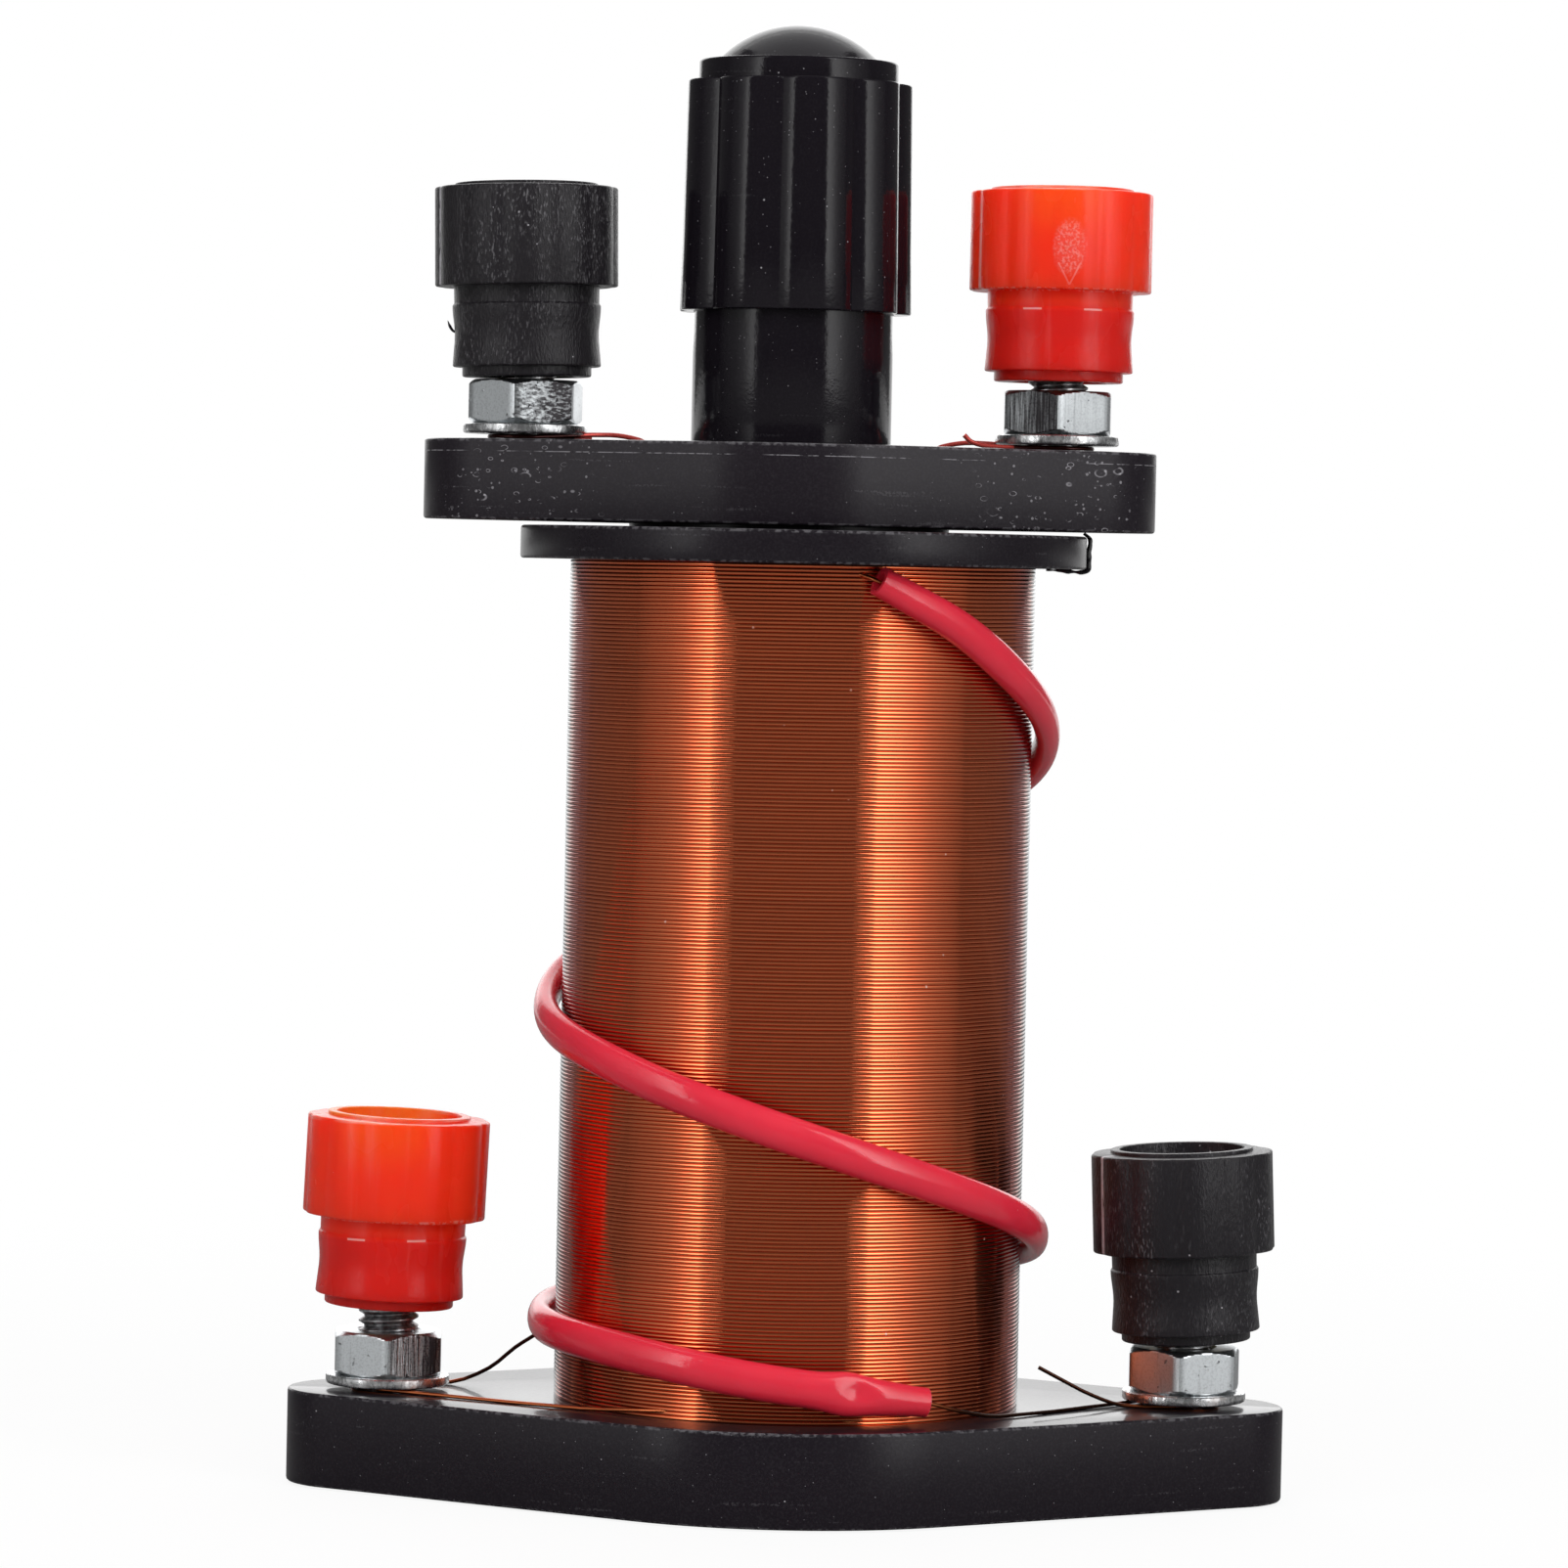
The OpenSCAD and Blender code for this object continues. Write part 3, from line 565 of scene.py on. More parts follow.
def plated_steel(name, colour, rough, grain, rust):
    """Zinc plating with a crystal grain, pits and a little rust."""
    made, paint = material(name)
    crystals = paint.noise(1900, 3, (1, 1, 0.7))
    pits = paint.noise(2600, 3)
    stain = paint.step(paint.noise(420, 4), 0.54, 0.70) * rust
    dull = paint.step(crystals, 0.44, 0.58) * 0.6 + paint.step(pits, 0.58, 0.70) * 0.4
    shade = paint.mix(dull, colour, tuple(c * 0.30 for c in colour))
    paint.finish({
        "Base Color": paint.mix(stain, shade, (0.22, 0.09, 0.035)),
        "Metallic": 1.0 - stain * 0.7,
        "Roughness": rough + (crystals - 0.5) * 0.2 + stain * 0.3,
        "Normal": paint.bump(crystals + pits * 0.5, grain),
    })
    return made


def nut_zinc(name, middle, tone, scraped, stretch):
    """Bright plated nut with smooth flats, a few pits and one flat that a spanner scraped."""
    made, paint = material(name)
    x, y, _ = paint.axes(paint.place(at=(middle * MM, 0, 0)))
    cloud = paint.noise(260, 3)
    marks = paint.noise(2200, 3, (1, 1, 0.05))
    pits = paint.step(paint.noise(1500, 3), 0.66, 0.72)
    frost = paint.step(paint.noise(4800, 2), 0.45, 0.65)
    faces = math.radians(scraped)
    reach = x * math.cos(faces) + y * math.sin(faces)
    along = y * math.cos(faces) - x * math.sin(faces)
    flat = paint.step(reach, (NUT_AF / 2 - 0.14) * MM, (NUT_AF / 2 - 0.05) * MM)
    torn = paint.noise(6000, 3, stretch)
    dull = paint.step(marks, 0.58, 0.75) * 0.16 + cloud * 0.2 + pits * 0.6 + frost * 0.14
    worn = paint.step(along, -0.0016, 0.0022) * 0.38 + 0.26
    dull = dull + flat * (paint.step(torn, 0.38, 0.64) * 0.45 + worn)
    relief = marks * 0.35 + pits + flat * torn * 2.5
    bright = tuple(c * tone for c in (0.80, 0.84, 0.86))
    paint.finish({
        "Base Color": paint.mix(dull, bright, (0.045, 0.042, 0.045)),
        "Metallic": 1.0,
        "Roughness": 0.24 + cloud * 0.10 + dull * 0.1,
        "Normal": paint.bump(relief, 0.00003),
    })
    return made


def bare_metal(name, colour, rough):
    """Turned metal that has dulled unevenly."""
    made, paint = material(name)
    cloud = paint.noise(200, 4)
    lines = paint.noise(3000, 2, (0.05, 0.05, 1))
    paint.finish({
        "Base Color": paint.mix(cloud, colour, tuple(c * 0.6 for c in colour)),
        "Metallic": 1.0,
        "Roughness": rough + (cloud - 0.5) * 0.2,
        "Normal": paint.bump(lines, 0.00002),
    })
    return made


base_black = black_moulding(
    "base_black", (0.0100, 0.0072, 0.0108), 0.30, 0.22, (0, base_top), shiny_top=True
)
plate_black = black_moulding(
    "plate_black", (0.0118, 0.0088, 0.0126), 0.33, 0.16, (plate_low.z, plate_top),
    scuffs=0.45, shiny_top=True,
)
bobbin_black = black_moulding(
    "bobbin_black", (0.0100, 0.0074, 0.0106), 0.28, 0.10, (flange_top - FLANGE_T, flange_top)
)
knob_black = black_moulding("knob_black", (0.0070, 0.0054, 0.0080), 0.12, 0.40, haze=0.004)
winding_copper = enamelled_wire(
    "winding_copper", (0.66, 0.131, 0.036), (0.94, 0.196, 0.053), 0.07, varnish=0.9, rim=0.2
)
lead_copper = enamelled_wire("lead_copper", (0.45, 0.11, 0.04), (0.70, 0.20, 0.075), 0.28, ends="base")
primary_red = enamelled_wire("primary_red", (0.42, 0.035, 0.03), (0.62, 0.09, 0.07), 0.25, 0.5, "plate")
crimson_sleeve = sleeve_rubber("crimson_sleeve")
washer_zinc = plated_steel("washer_zinc", (0.86, 0.87, 0.88), 0.28, 0.00005, 0.30)
stud_steel = plated_steel("stud_steel", (0.45, 0.45, 0.46), 0.33, 0.00004, 0.25)
insert_brass = bare_metal("insert_brass", (0.72, 0.52, 0.22), 0.32)
core_iron = bare_metal("core_iron", (0.34, 0.34, 0.35), 0.38)


# Shapes


def linked(name, data):
    """A new object in the scene."""
    made = bpy.data.objects.new(name, data)
    bpy.context.scene.collection.objects.link(made)
    return made


def add_piece(name, bm, body, finish, stands_for=(), sharp=35):
    """Makes a bmesh in millimetres a piece of the object that rides on a body."""
    bmesh.ops.scale(bm, vec=(MM, MM, MM), verts=bm.verts)
    mesh = bpy.data.meshes.new(name)
    bm.to_mesh(mesh)
    bm.free()
    mesh.shade_smooth()
    mesh.set_sharp_from_angle(angle=math.radians(sharp))
    mesh.materials.append(finish)
    piece = linked(name, mesh)
    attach(piece, body)
    if stands_for:
        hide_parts(*stands_for)


def verts_in(geom):
    return [v for v in geom if isinstance(v, bmesh.types.BMVert)]


def open_edges(bm):
    return [e for e in bm.edges if e.is_boundary]


def joined(shapes):
    """One bmesh of several."""
    whole = bmesh.new()
    for shape in shapes:
        mesh = bpy.data.meshes.new("part")
        shape.to_mesh(mesh)
        shape.free()
        whole.from_mesh(mesh)
        bpy.data.meshes.remove(mesh)
    return whole


def moved(bm, matrix):
    bmesh.ops.transform(bm, matrix=matrix, verts=bm.verts)
    return bm


def put(bm, x=0, z=0):
    return moved(bm, Matrix.Translation((x, 0, z)))


def about_z(degrees):
    return Matrix.Rotation(math.radians(degrees), 4, "Z")


def turned(profile, steps=96):
    """A shape turned about Z from its profile: radius, height and rounding of each corner."""
    bm = bmesh.new()
    corners = [bm.verts.new((r, 0, z)) for r, z, _ in profile]
    bm.faces.new(corners)
    for size in sorted({corner for _, _, corner in profile if corner}):
        chosen = [v for v, (_, _, corner) in zip(corners, profile) if corner == size]
        bmesh.ops.bevel(
            bm, geom=chosen, offset=size, segments=3, profile=0.5, affect="VERTICES", material=-1
        )
    bmesh.ops.delete(bm, geom=bm.faces[:], context="FACES_ONLY")
    on_axis = [e for e in bm.edges if all(v.co.x < 1e-6 for v in e.verts)]
    bmesh.ops.delete(bm, geom=on_axis, context="EDGES")
    bmesh.ops.spin(
        bm, geom=bm.verts[:] + bm.edges[:], axis=(0, 0, 1), angle=TURN, steps=steps, use_merge=True
    )
    bmesh.ops.remove_doubles(bm, verts=bm.verts, dist=1e-4)
    bmesh.ops.recalc_face_normals(bm, faces=bm.faces)
    return bm


def ribbed(bm, low, high, inside, count, reach, rib):
    """Draws a round wall between two heights into ribs that stand side by side."""
    hub = reach - rib
    for v in bm.verts:
        if low - 0.01 <= v.co.z <= high + 0.01 and v.co.xy.length > inside:
            off = (math.atan2(v.co.y, v.co.x) + math.pi / count) % (TURN / count) - math.pi / count
            wall = hub * math.cos(off) + math.sqrt(rib**2 - (hub * math.sin(off)) ** 2)
            v.co.xy *= wall / reach
    return bm


def six_sided(bm, across, inside):
    """Flattens a round wall to six flats."""
    for v in bm.verts:
        radius = v.co.xy.length
        if radius > inside:
            off = math.atan2(v.co.y, v.co.x) % (TURN / 6) - TURN / 12
            v.co.xy *= min(1.0, across / 2 / (radius * math.cos(off)))
    return bm


def lozenge(mid_r, end_r, half, low, high, edge):
    """A slab with a round middle, round ends and softened edges."""
    bm = bmesh.new()
    reach = half - end_r
    slope = math.asin((mid_r - end_r) / reach)
    quarter = math.pi / 2
    arcs = [
        (reach, end_r, slope - quarter, 2 * (quarter - slope)),
        (0, mid_r, quarter - slope, 2 * slope),
        (-reach, end_r, quarter + slope, 2 * (quarter - slope)),
        (0, mid_r, 3 * quarter - slope, 2 * slope),
    ]
    ends = []
    for centre, radius, start, sweep in arcs:
        first = bm.verts.new((centre + radius * math.cos(start), radius * math.sin(start), low))
        spun = bmesh.ops.spin(
            bm, geom=[first], cent=(centre, 0, low), axis=(0, 0, 1), angle=sweep, steps=24
        )
        ends.append((first, verts_in(spun["geom_last"])[0]))
    for (_, last), (first, _) in zip(ends, ends[1:] + ends[:1]):
        bm.edges.new((last, first))
    bmesh.ops.contextual_create(bm, geom=bm.edges[:])
    raised = bmesh.ops.extrude_face_region(bm, geom=bm.faces[:])["geom"]
    bmesh.ops.translate(bm, vec=(0, 0, high - low), verts=verts_in(raised))
    bmesh.ops.recalc_face_normals(bm, faces=bm.faces)
    rims = [e for e in bm.edges if abs(e.verts[0].co.z - e.verts[1].co.z) < 1e-6]
    bmesh.ops.bevel(
        bm, geom=rims, offset=edge, segments=3, profile=0.5, affect="EDGES", material=-1
    )
    return bm


def drilled(bm, cutters):
    """Cuts closed shapes out of a shape."""
    block = linked("block", bpy.data.meshes.new("block"))
    tool = linked("tool", bpy.data.meshes.new("tool"))
    whole = joined(cutters)
    bm.to_mesh(block.data)
    whole.to_mesh(tool.data)
    whole.free()
    cut = block.modifiers.new("cut", "BOOLEAN")
    cut.operation = "DIFFERENCE"
    cut.solver = "EXACT"
    cut.object = tool
    bpy.context.view_layer.update()
    result = block.evaluated_get(bpy.context.evaluated_depsgraph_get())
    bm.clear()
    bm.from_mesh(result.to_mesh())
    for made in (block, tool):
        mesh = made.data
        bpy.data.objects.remove(made)
        bpy.data.meshes.remove(mesh)
    return bm


def wound(turn, pitch, turns, inner_r, steps):
    """A closed shell whose wall climbs as a screw. A turn is points of radius and share of pitch."""
    bm = bmesh.new()
    line = [(r, (k + share) * pitch) for k in range(turns) for r, share in turn]
    line.append((turn[0][0], (turns + turn[0][1]) * pitch))
    verts = [bm.verts.new((r, 0, z)) for r, z in line]
    for a, b in zip(verts, verts[1:]):
        bm.edges.new((a, b))
    bmesh.ops.spin(
        bm, geom=bm.verts[:] + bm.edges[:], axis=(0, 0, 1), angle=TURN, steps=steps,
        dvec=(0, 0, pitch / steps), use_merge=False,
    )
    bmesh.ops.remove_doubles(bm, verts=bm.verts, dist=1e-3)
    made = bmesh.ops.extrude_edge_only(bm, edges=open_edges(bm))["geom"]
    for v in verts_in(made):
        v.co.xy = v.co.xy.normalized() * inner_r
    bmesh.ops.bridge_loops(bm, edges=open_edges(bm))
    bmesh.ops.recalc_face_normals(bm, faces=bm.faces)
    return bm


def smooth(points, steps):
    """Points along a smooth curve through the given ones."""
    last = len(points) - 1
    aims = [(points[min(k + 1, last)] - points[max(k - 1, 0)]).normalized() for k in range(last + 1)]
    path = []
    for here, there, aim, next_aim in zip(points, points[1:], aims, aims[1:]):
        reach = (there - here).length / 3
        path += interpolate_bezier(
            here, here + aim * reach, there - next_aim * reach, there, steps + 1
        )[:-1]
    return path + [points[last]]


def swept(path, radius, sides, filled=True):
    """A tube along a path, carried from point to point without twisting, and its rings."""
    last = len(path) - 1
    heads = [(path[min(i + 1, last)] - path[max(i - 1, 0)]).normalized() for i in range(last + 1)]
    bm = bmesh.new()
    start = Matrix.Translation(path[0]) @ heads[0].to_track_quat("Z", "Y").to_matrix().to_4x4()
    ring = bmesh.ops.create_circle(bm, segments=sides, radius=radius, matrix=start)["verts"]
    edges = bm.edges[:]
    rings = [ring]
    for i in range(1, last + 1):
        made = bmesh.ops.extrude_edge_only(bm, edges=edges)["geom"]
        ring = verts_in(made)
        edges = [e for e in made if isinstance(e, bmesh.types.BMEdge) and e.is_boundary]
        bend = heads[i - 1].rotation_difference(heads[i]).to_matrix()
        bmesh.ops.rotate(bm, cent=path[i - 1], matrix=bend, verts=ring)
        bmesh.ops.translate(bm, vec=path[i] - path[i - 1], verts=ring)
        rings.append(ring)
    if filled:
        bmesh.ops.holes_fill(bm, edges=open_edges(bm), sides=sides)
    bmesh.ops.recalc_face_normals(bm, faces=bm.faces)
    return bm, rings


# Camera at the photograph's viewing angle

FRAME_PX = 1603
FOCUS_PX = 6797
SENSOR = 36.0
CAMERA_AT = Vector((-1.45, -665.7, 93.0))
CAMERA_DOWN = 1.90
CAMERA_ROLL = 1.238

lens = bpy.data.cameras.new("camera")
lens.sensor_width = SENSOR
lens.lens = FOCUS_PX * SENSOR / FRAME_PX
camera = linked("camera", lens)
camera.matrix_world = (
    Matrix.Translation(CAMERA_AT * MM)
    @ Matrix.Rotation(math.radians(90 - CAMERA_DOWN), 4, "X")
    @ about_z(CAMERA_ROLL)
)
bpy.context.scene.camera = camera
bpy.context.scene.view_settings.view_transform = "Standard"


# Base, bobbin and plate


def bolt_hole(x, low, high):
    """Cutter for a bolt with its head in a pocket."""
    clear = STUD_R + STUD_ROOM
    pocket = NUT_AF / 2 / math.cos(math.radians(30)) + STUD_ROOM
    tool = turned([
        (0, low - 1, 0), (pocket + 0.4, low - 1, 0), (pocket + 0.4, low, 0), (pocket, low + 0.4, 0),
        (pocket, low + POCKET_DEPTH, 0), (clear, low + POCKET_DEPTH, 0), (clear, high + 1, 0),
        (0, high + 1, 0),
    ], 48)
    return put(tool, x)


def peg(x, radius, low, high):
    """Cutter for a round hole."""
    return put(turned([(0, low, 0), (radius, low, 0), (radius, high, 0), (0, high, 0)], 64), x)


def make_base():
    slab = lozenge(base_high.y, BASE_END_R, base_high.x, 0, base_top, BASE_EDGE)
    holes = [bolt_hole(side * BASE_POST_X, 0, base_top) for side in (-1, 1)]
    drilled(slab, [*holes, peg(0, SOCKET_R, bobbin_low.z, base_top + 1)])
    add_piece("base", slab, "secondary_coil", base_black, ["base_plate"], 25)


def make_bobbin():
    low, high = bobbin_low.z, flange_top
    shape = turned([
        (BORE_R, low, 0.2), (SECONDARY_TUBE_R, low, 0.2), (SECONDARY_TUBE_R, high - FLANGE_T, 0),
        (bobbin_high.x, high - FLANGE_T, 0.3), (bobbin_high.x, high, 0.3), (BORE_R, high, 0.4),
    ], 160)
    add_piece("bobbin", shape, "secondary_coil", bobbin_black, ["secondary_bobbin"])


def make_plate():
    slab = lozenge(
        plate_high.y, PLATE_END_R, plate_high.x - primary_x, plate_low.z, plate_top, PLATE_EDGE
    )
    holes = [bolt_hole(side * PLATE_POST_X, plate_low.z, plate_top) for side in (-1, 1)]
    leads = [
        peg(side * LEAD_X, PRIMARY_WIRE_D / 2 + STUD_ROOM, plate_low.z - 1, plate_top + 1)
        for side in (-1, 1)
    ]
    bores = [
        peg(0, PRIMARY_TUBE_R + FIT, plate_low.z - 1, plate_top - PLATE_WEB),
        peg(0, PRIMARY_BORE_R, plate_top - PLATE_WEB - 1, plate_top + 1),
    ]
    drilled(slab, [*holes, *leads, bores[0]])
    drilled(slab, [bores[1]])
    put(slab, primary_x)
    add_piece("plate", slab, "primary_coil", plate_black, ["primary_plate"], 25)


# Windings and leads


def round_turn(radius, depth, sides=6):
    """Profile of one turn of wire from groove to groove, as deep as the varnish leaves it."""
    return [
        (radius - depth + depth * math.cos(a), 0.5 - 0.5 * math.sin(a))
        for a in (math.pi / 2 - math.pi * k / sides for k in range(sides))
    ]


def make_secondary_winding():
    """A screw of turns, one too long, which is cut flat where it meets the base and the flange."""
    pitch = WINDING_H / WINDING_TURNS
    inner_r = winding_high.x - WINDING_WALL
    turn = round_turn(winding_high.x, GROOVE_DEPTH)
    shape = wound(turn, pitch, WINDING_TURNS + 1, inner_r, WINDING_STEPS)
    put(shape, z=-pitch)
    for end, outwards in ((0, -1), (WINDING_H, 1)):
        bmesh.ops.bisect_plane(
            shape, geom=shape.verts[:] + shape.edges[:] + shape.faces[:], dist=1e-5,
            plane_co=(0, 0, end), plane_no=(0, 0, outwards), clear_outer=True,
        )
        bmesh.ops.remove_doubles(shape, verts=shape.verts, dist=2e-3)
        bmesh.ops.bridge_loops(shape, edges=open_edges(shape))
    bmesh.ops.recalc_face_normals(shape, faces=shape.faces)
    for v in shape.verts:
        radius = v.co.xy.length
        if radius > winding_high.x - WINDING_WALL / 2:
            wound_by = v.co.z / pitch - math.atan2(v.co.y, v.co.x) / TURN
            slack = TURN_SLACK * noise.noise((0, 0, wound_by * 0.61))
            slack += LAYER_SLACK * noise.noise(v.co / LAYER_WAVE)
            v.co.xy *= (radius + WINDING_PROUD + slack) / radius
    moved(shape, Matrix.Translation((0, 0, base_top)) @ about_z(WINDING_TURNED))
    add_piece(
        "secondary_turns", shape, "secondary_coil", winding_copper,
        ["secondary_winding"], 100,
    )


def make_primary_winding():
    pitch = PRIMARY_WIRE_D
    turns = int((coil_high.z - coil_low.z) / pitch) - 1
    radius = coil_high.x - primary_x
    shape = wound(round_turn(radius, pitch / 2), pitch, turns, PRIMARY_TUBE_R + FIT, 60)
    put(shape, primary_x, coil_low.z)
    add_piece(
        "primary_turns", shape, "primary_coil", primary_red, ["primary_winding"], 100
    )


def bearing(degrees):
    a = math.radians(degrees)
    return Vector((math.sin(a), -math.cos(a), 0))


def sleeve_path():
    """Middle of the sleeve round the winding, with straight ends."""
    turns = [
        SLEEVE_R * bearing(a) + Vector((0, 0, base_top + WINDING_H * share))
        for a, share, _ in smooth([Vector((a, share, 0)) for a, share in SLEEVE_ROUTE], 8)
    ]
    mouth = turns[0] + (turns[0] - turns[1]).normalized() * SLEEVE_ENDS[0]
    end = turns[-1] + (turns[-1] - turns[-2]).normalized() * SLEEVE_ENDS[1]
    return smooth([mouth, *turns, end], 2)


def bulge(run, middle, reach):
    """1 at a place along a run, falling off smoothly on both sides."""
    return math.exp(-(((run - middle) / reach) ** 2))


def flatten(ring, middle, run, left):
    """Presses a ring of the sleeve flat, narrower at its mouth, creased and pinched near its end."""
    out = Vector((middle.x, middle.y, 0)).normalized()
    mouth = max(0.0, 1 - run / SLEEVE_MOUTH_L)
    wide = (SLEEVE_W + (SLEEVE_MOUTH_W - SLEEVE_W) * mouth) / 2
    wide *= 1 + CREASE_SPREAD * bulge(left, 8.5, 2.0) - END_PINCH * bulge(left, 0, 4.0)
    thick = SLEEVE_T / 2 * (1 - CREASE_PRESS * bulge(left, 8.0, 2.5))
    dent = CREASE_DEPTH * bulge(left, 7.6, 1.3)
    for v in ring:
        off = v.co - middle
        deep = off.dot(out)
        across = off - out * deep
        v.co = middle + across * wide + out * deep * thick
        if deep > 0:
            v.co -= out * dent * bulge(across.z, 0.2, 0.45)


def make_sleeve():
    path = sleeve_path()
    shape, rings = swept(path, 1.0, 32, filled=False)
    whole = sum((b - a).length for a, b in zip(path, path[1:]))
    run = 0.0
    for i, ring in enumerate(rings):
        run += (path[i] - path[max(i - 1, 0)]).length
        flatten(ring, path[i], run, whole - run)
    bmesh.ops.solidify(shape, geom=shape.faces[:], thickness=SLEEVE_WALL)
    add_piece("sleeve", shape, "secondary_coil", crimson_sleeve, ["lead_sleeve"], 50)


def post_loop(post, start, radius, sweep):
    """Points of a loop round a post, met as a tangent from a point and run clockwise from above."""
    away = (start - post).xy
    met = math.atan2(away.y, away.x) - math.acos(radius / away.length)
    steps = round(sweep / LOOP_STEP)
    turns = [met - math.radians(sweep) * k / steps for k in range(steps + 1)]
    return [post + radius * Vector((math.cos(a), math.sin(a), 0)) for a in turns]


def shifted(points, by):
    return [Vector(p) + by for p in points]


def make_base_leads():
    wire_z = base_top + FIT + WIRE_D / 2
    loop_r = STUD_R + STUD_ROOM + WIRE_D / 2
    on_base = Vector((0, 0, base_top))
    turn_r = winding_high.x - WIRE_D
    start_run = shifted(START_RUN, on_base)
    left = Vector((-BASE_POST_X, 0, wire_z))
    start = [
        *[turn_r * bearing(a) + Vector((0, 0, base_top + z)) for a, z in START_TURN],
        *start_run, *post_loop(left, start_run[1], loop_r, START_LOOP),
        *shifted(START_TAIL, Vector((-BASE_POST_X, 0, base_top))),
    ]
    sleeved = [
        p - Vector((p.x, p.y, 0)).normalized() * MOUTH_SAG * max(0.0, 1 - k / SAG_POINTS)
        for k, p in enumerate(sleeve_path())
    ]
    finish_run = shifted(FINISH_RUN, on_base)
    right = Vector((BASE_POST_X, 0, wire_z))
    finish = [
        *[turn_r * bearing(a) + Vector((0, 0, flange_top - FLANGE_T - z)) for a, z in FINISH_TURN],
        *sleeved, *finish_run, *post_loop(right, finish_run[1], loop_r, FINISH_LOOP),
        *shifted(FINISH_TAIL, Vector((BASE_POST_X, 0, base_top))),
    ]
    for name, route in (("start", start), ("finish", finish)):
        shape, _ = swept(smooth(route, 3), WIRE_D / 2, 8)
        add_piece(
            f"{name}_wire", shape, "secondary_coil", lead_copper, [f"{name}_lead"], 60
        )


def make_plate_leads():
    wire_z = plate_top + FIT + PRIMARY_WIRE_D / 2
    loop_r = STUD_R + STUD_ROOM + PRIMARY_WIRE_D / 2
    for name, side, sweep, tail in (
        ("left", -1, LEFT_LOOP, LEFT_TAIL), ("right", 1, RIGHT_LOOP, RIGHT_TAIL)
    ):
        hole = primary_x + side * LEAD_X
        post = Vector((primary_x + side * PLATE_POST_X, 0, wire_z))
        bend = Vector((hole + side * 2 * PRIMARY_WIRE_D, 0, wire_z))
        rise = [Vector((hole, 0, z)) for z in (coil_high.z, plate_top - 1.0, plate_top - 0.3)]
        arch = bend.lerp(post, 0.25) + Vector((0, 0, LEAD_ARCH))
        route = [
            *rise, bend, arch, *post_loop(post, bend, loop_r, sweep),
            *shifted(tail, Vector((post.x, 0, plate_top))),
        ]
        shape, _ = swept(smooth(route, 4), PRIMARY_WIRE_D / 2, 10)
        add_piece(
            f"primary_wire_{name}", shape, "primary_coil", primary_red,
            ["primary_leads"], 60,
        )


# Threads of glue and flash

GLUE_ROUTE = [
    (-0.3, 0, 0.35), (0.3, 0, -0.2), (0.35, 0, -0.8), (0.2, 0, -1.7), (0.25, 0, -2.6),
    (0.15, 0, -3.3), (-0.4, 0, -3.55), (-1.4, 0, -3.5), (-2.8, 0, -3.42), (-4, 0, -3.4),
]
GLUE_R = 0.3
HAIR_ROUTE = [(-6.9, 0, 4.4), (-7.4, 0, 4.6), (-7.75, 0, 5.1), (-7.95, 0, 5.6)]
HAIR_R = 0.12


def thread(route, by, radius, rough):
    """A thread along a route whose thickness wanders and tapers to its ends."""
    path = smooth(shifted(route, by), 5)
    shape, rings = swept(path, radius, 8)
    for k, (ring, middle) in enumerate(zip(rings, path)):
        share = k / (len(path) - 1)
        wide = min(1.0, 0.3 + 3 * share, 0.3 + 2.2 * (1 - share))
        wide *= 1 + rough * noise.noise(middle * 1.3)
        for v in ring:
            v.co = middle + (v.co - middle) * wide
    return shape


def make_threads():
    glue = thread(GLUE_ROUTE, Vector((bobbin_high.x, 0, flange_top)), GLUE_R, 0.8)
    add_piece("flange_glue", glue, "secondary_coil", knob_black)
    foot = box_mm("plate_left_cap")[0].z
    hair = thread(HAIR_ROUTE, Vector((POST_X["plate_left"], 0, foot)), HAIR_R, 0.3)
    add_piece("cap_flash", hair, "plate_left_screw_cap", knob_black)


# Binding posts


def threaded(low, high):
    """A length of screw thread."""
    crest, root = STUD_R, STUD_R - THREAD_DEPTH
    turns = int((high - low) / THREAD_PITCH) - 1
    form = [(root, 0.0), (crest, 0.34), (crest, 0.5), (root, 0.84)]
    screw = wound(form, THREAD_PITCH, turns, root - THREAD_WALL, 48)
    return put(screw, z=high - (turns + 1) * THREAD_PITCH - FIT)


def group_node(post, kind):
    """Node that holds this kind of piece for both posts of the base or of the plate."""
    return f"{post.split('_')[0]}_{kind}"


def nut_finish(post):
    """Zinc of the nut on a post, with its scraped flat by its bearing on the nut."""
    scraped = SCRAPED_FLAT[post] + NUT_TURN[post]
    grain = SCRAPE_GRAIN.get(post, (1, 1, 0.03))
    return nut_zinc(f"{post}_zinc", POST_X[post], NUT_TONE[post], scraped, grain)


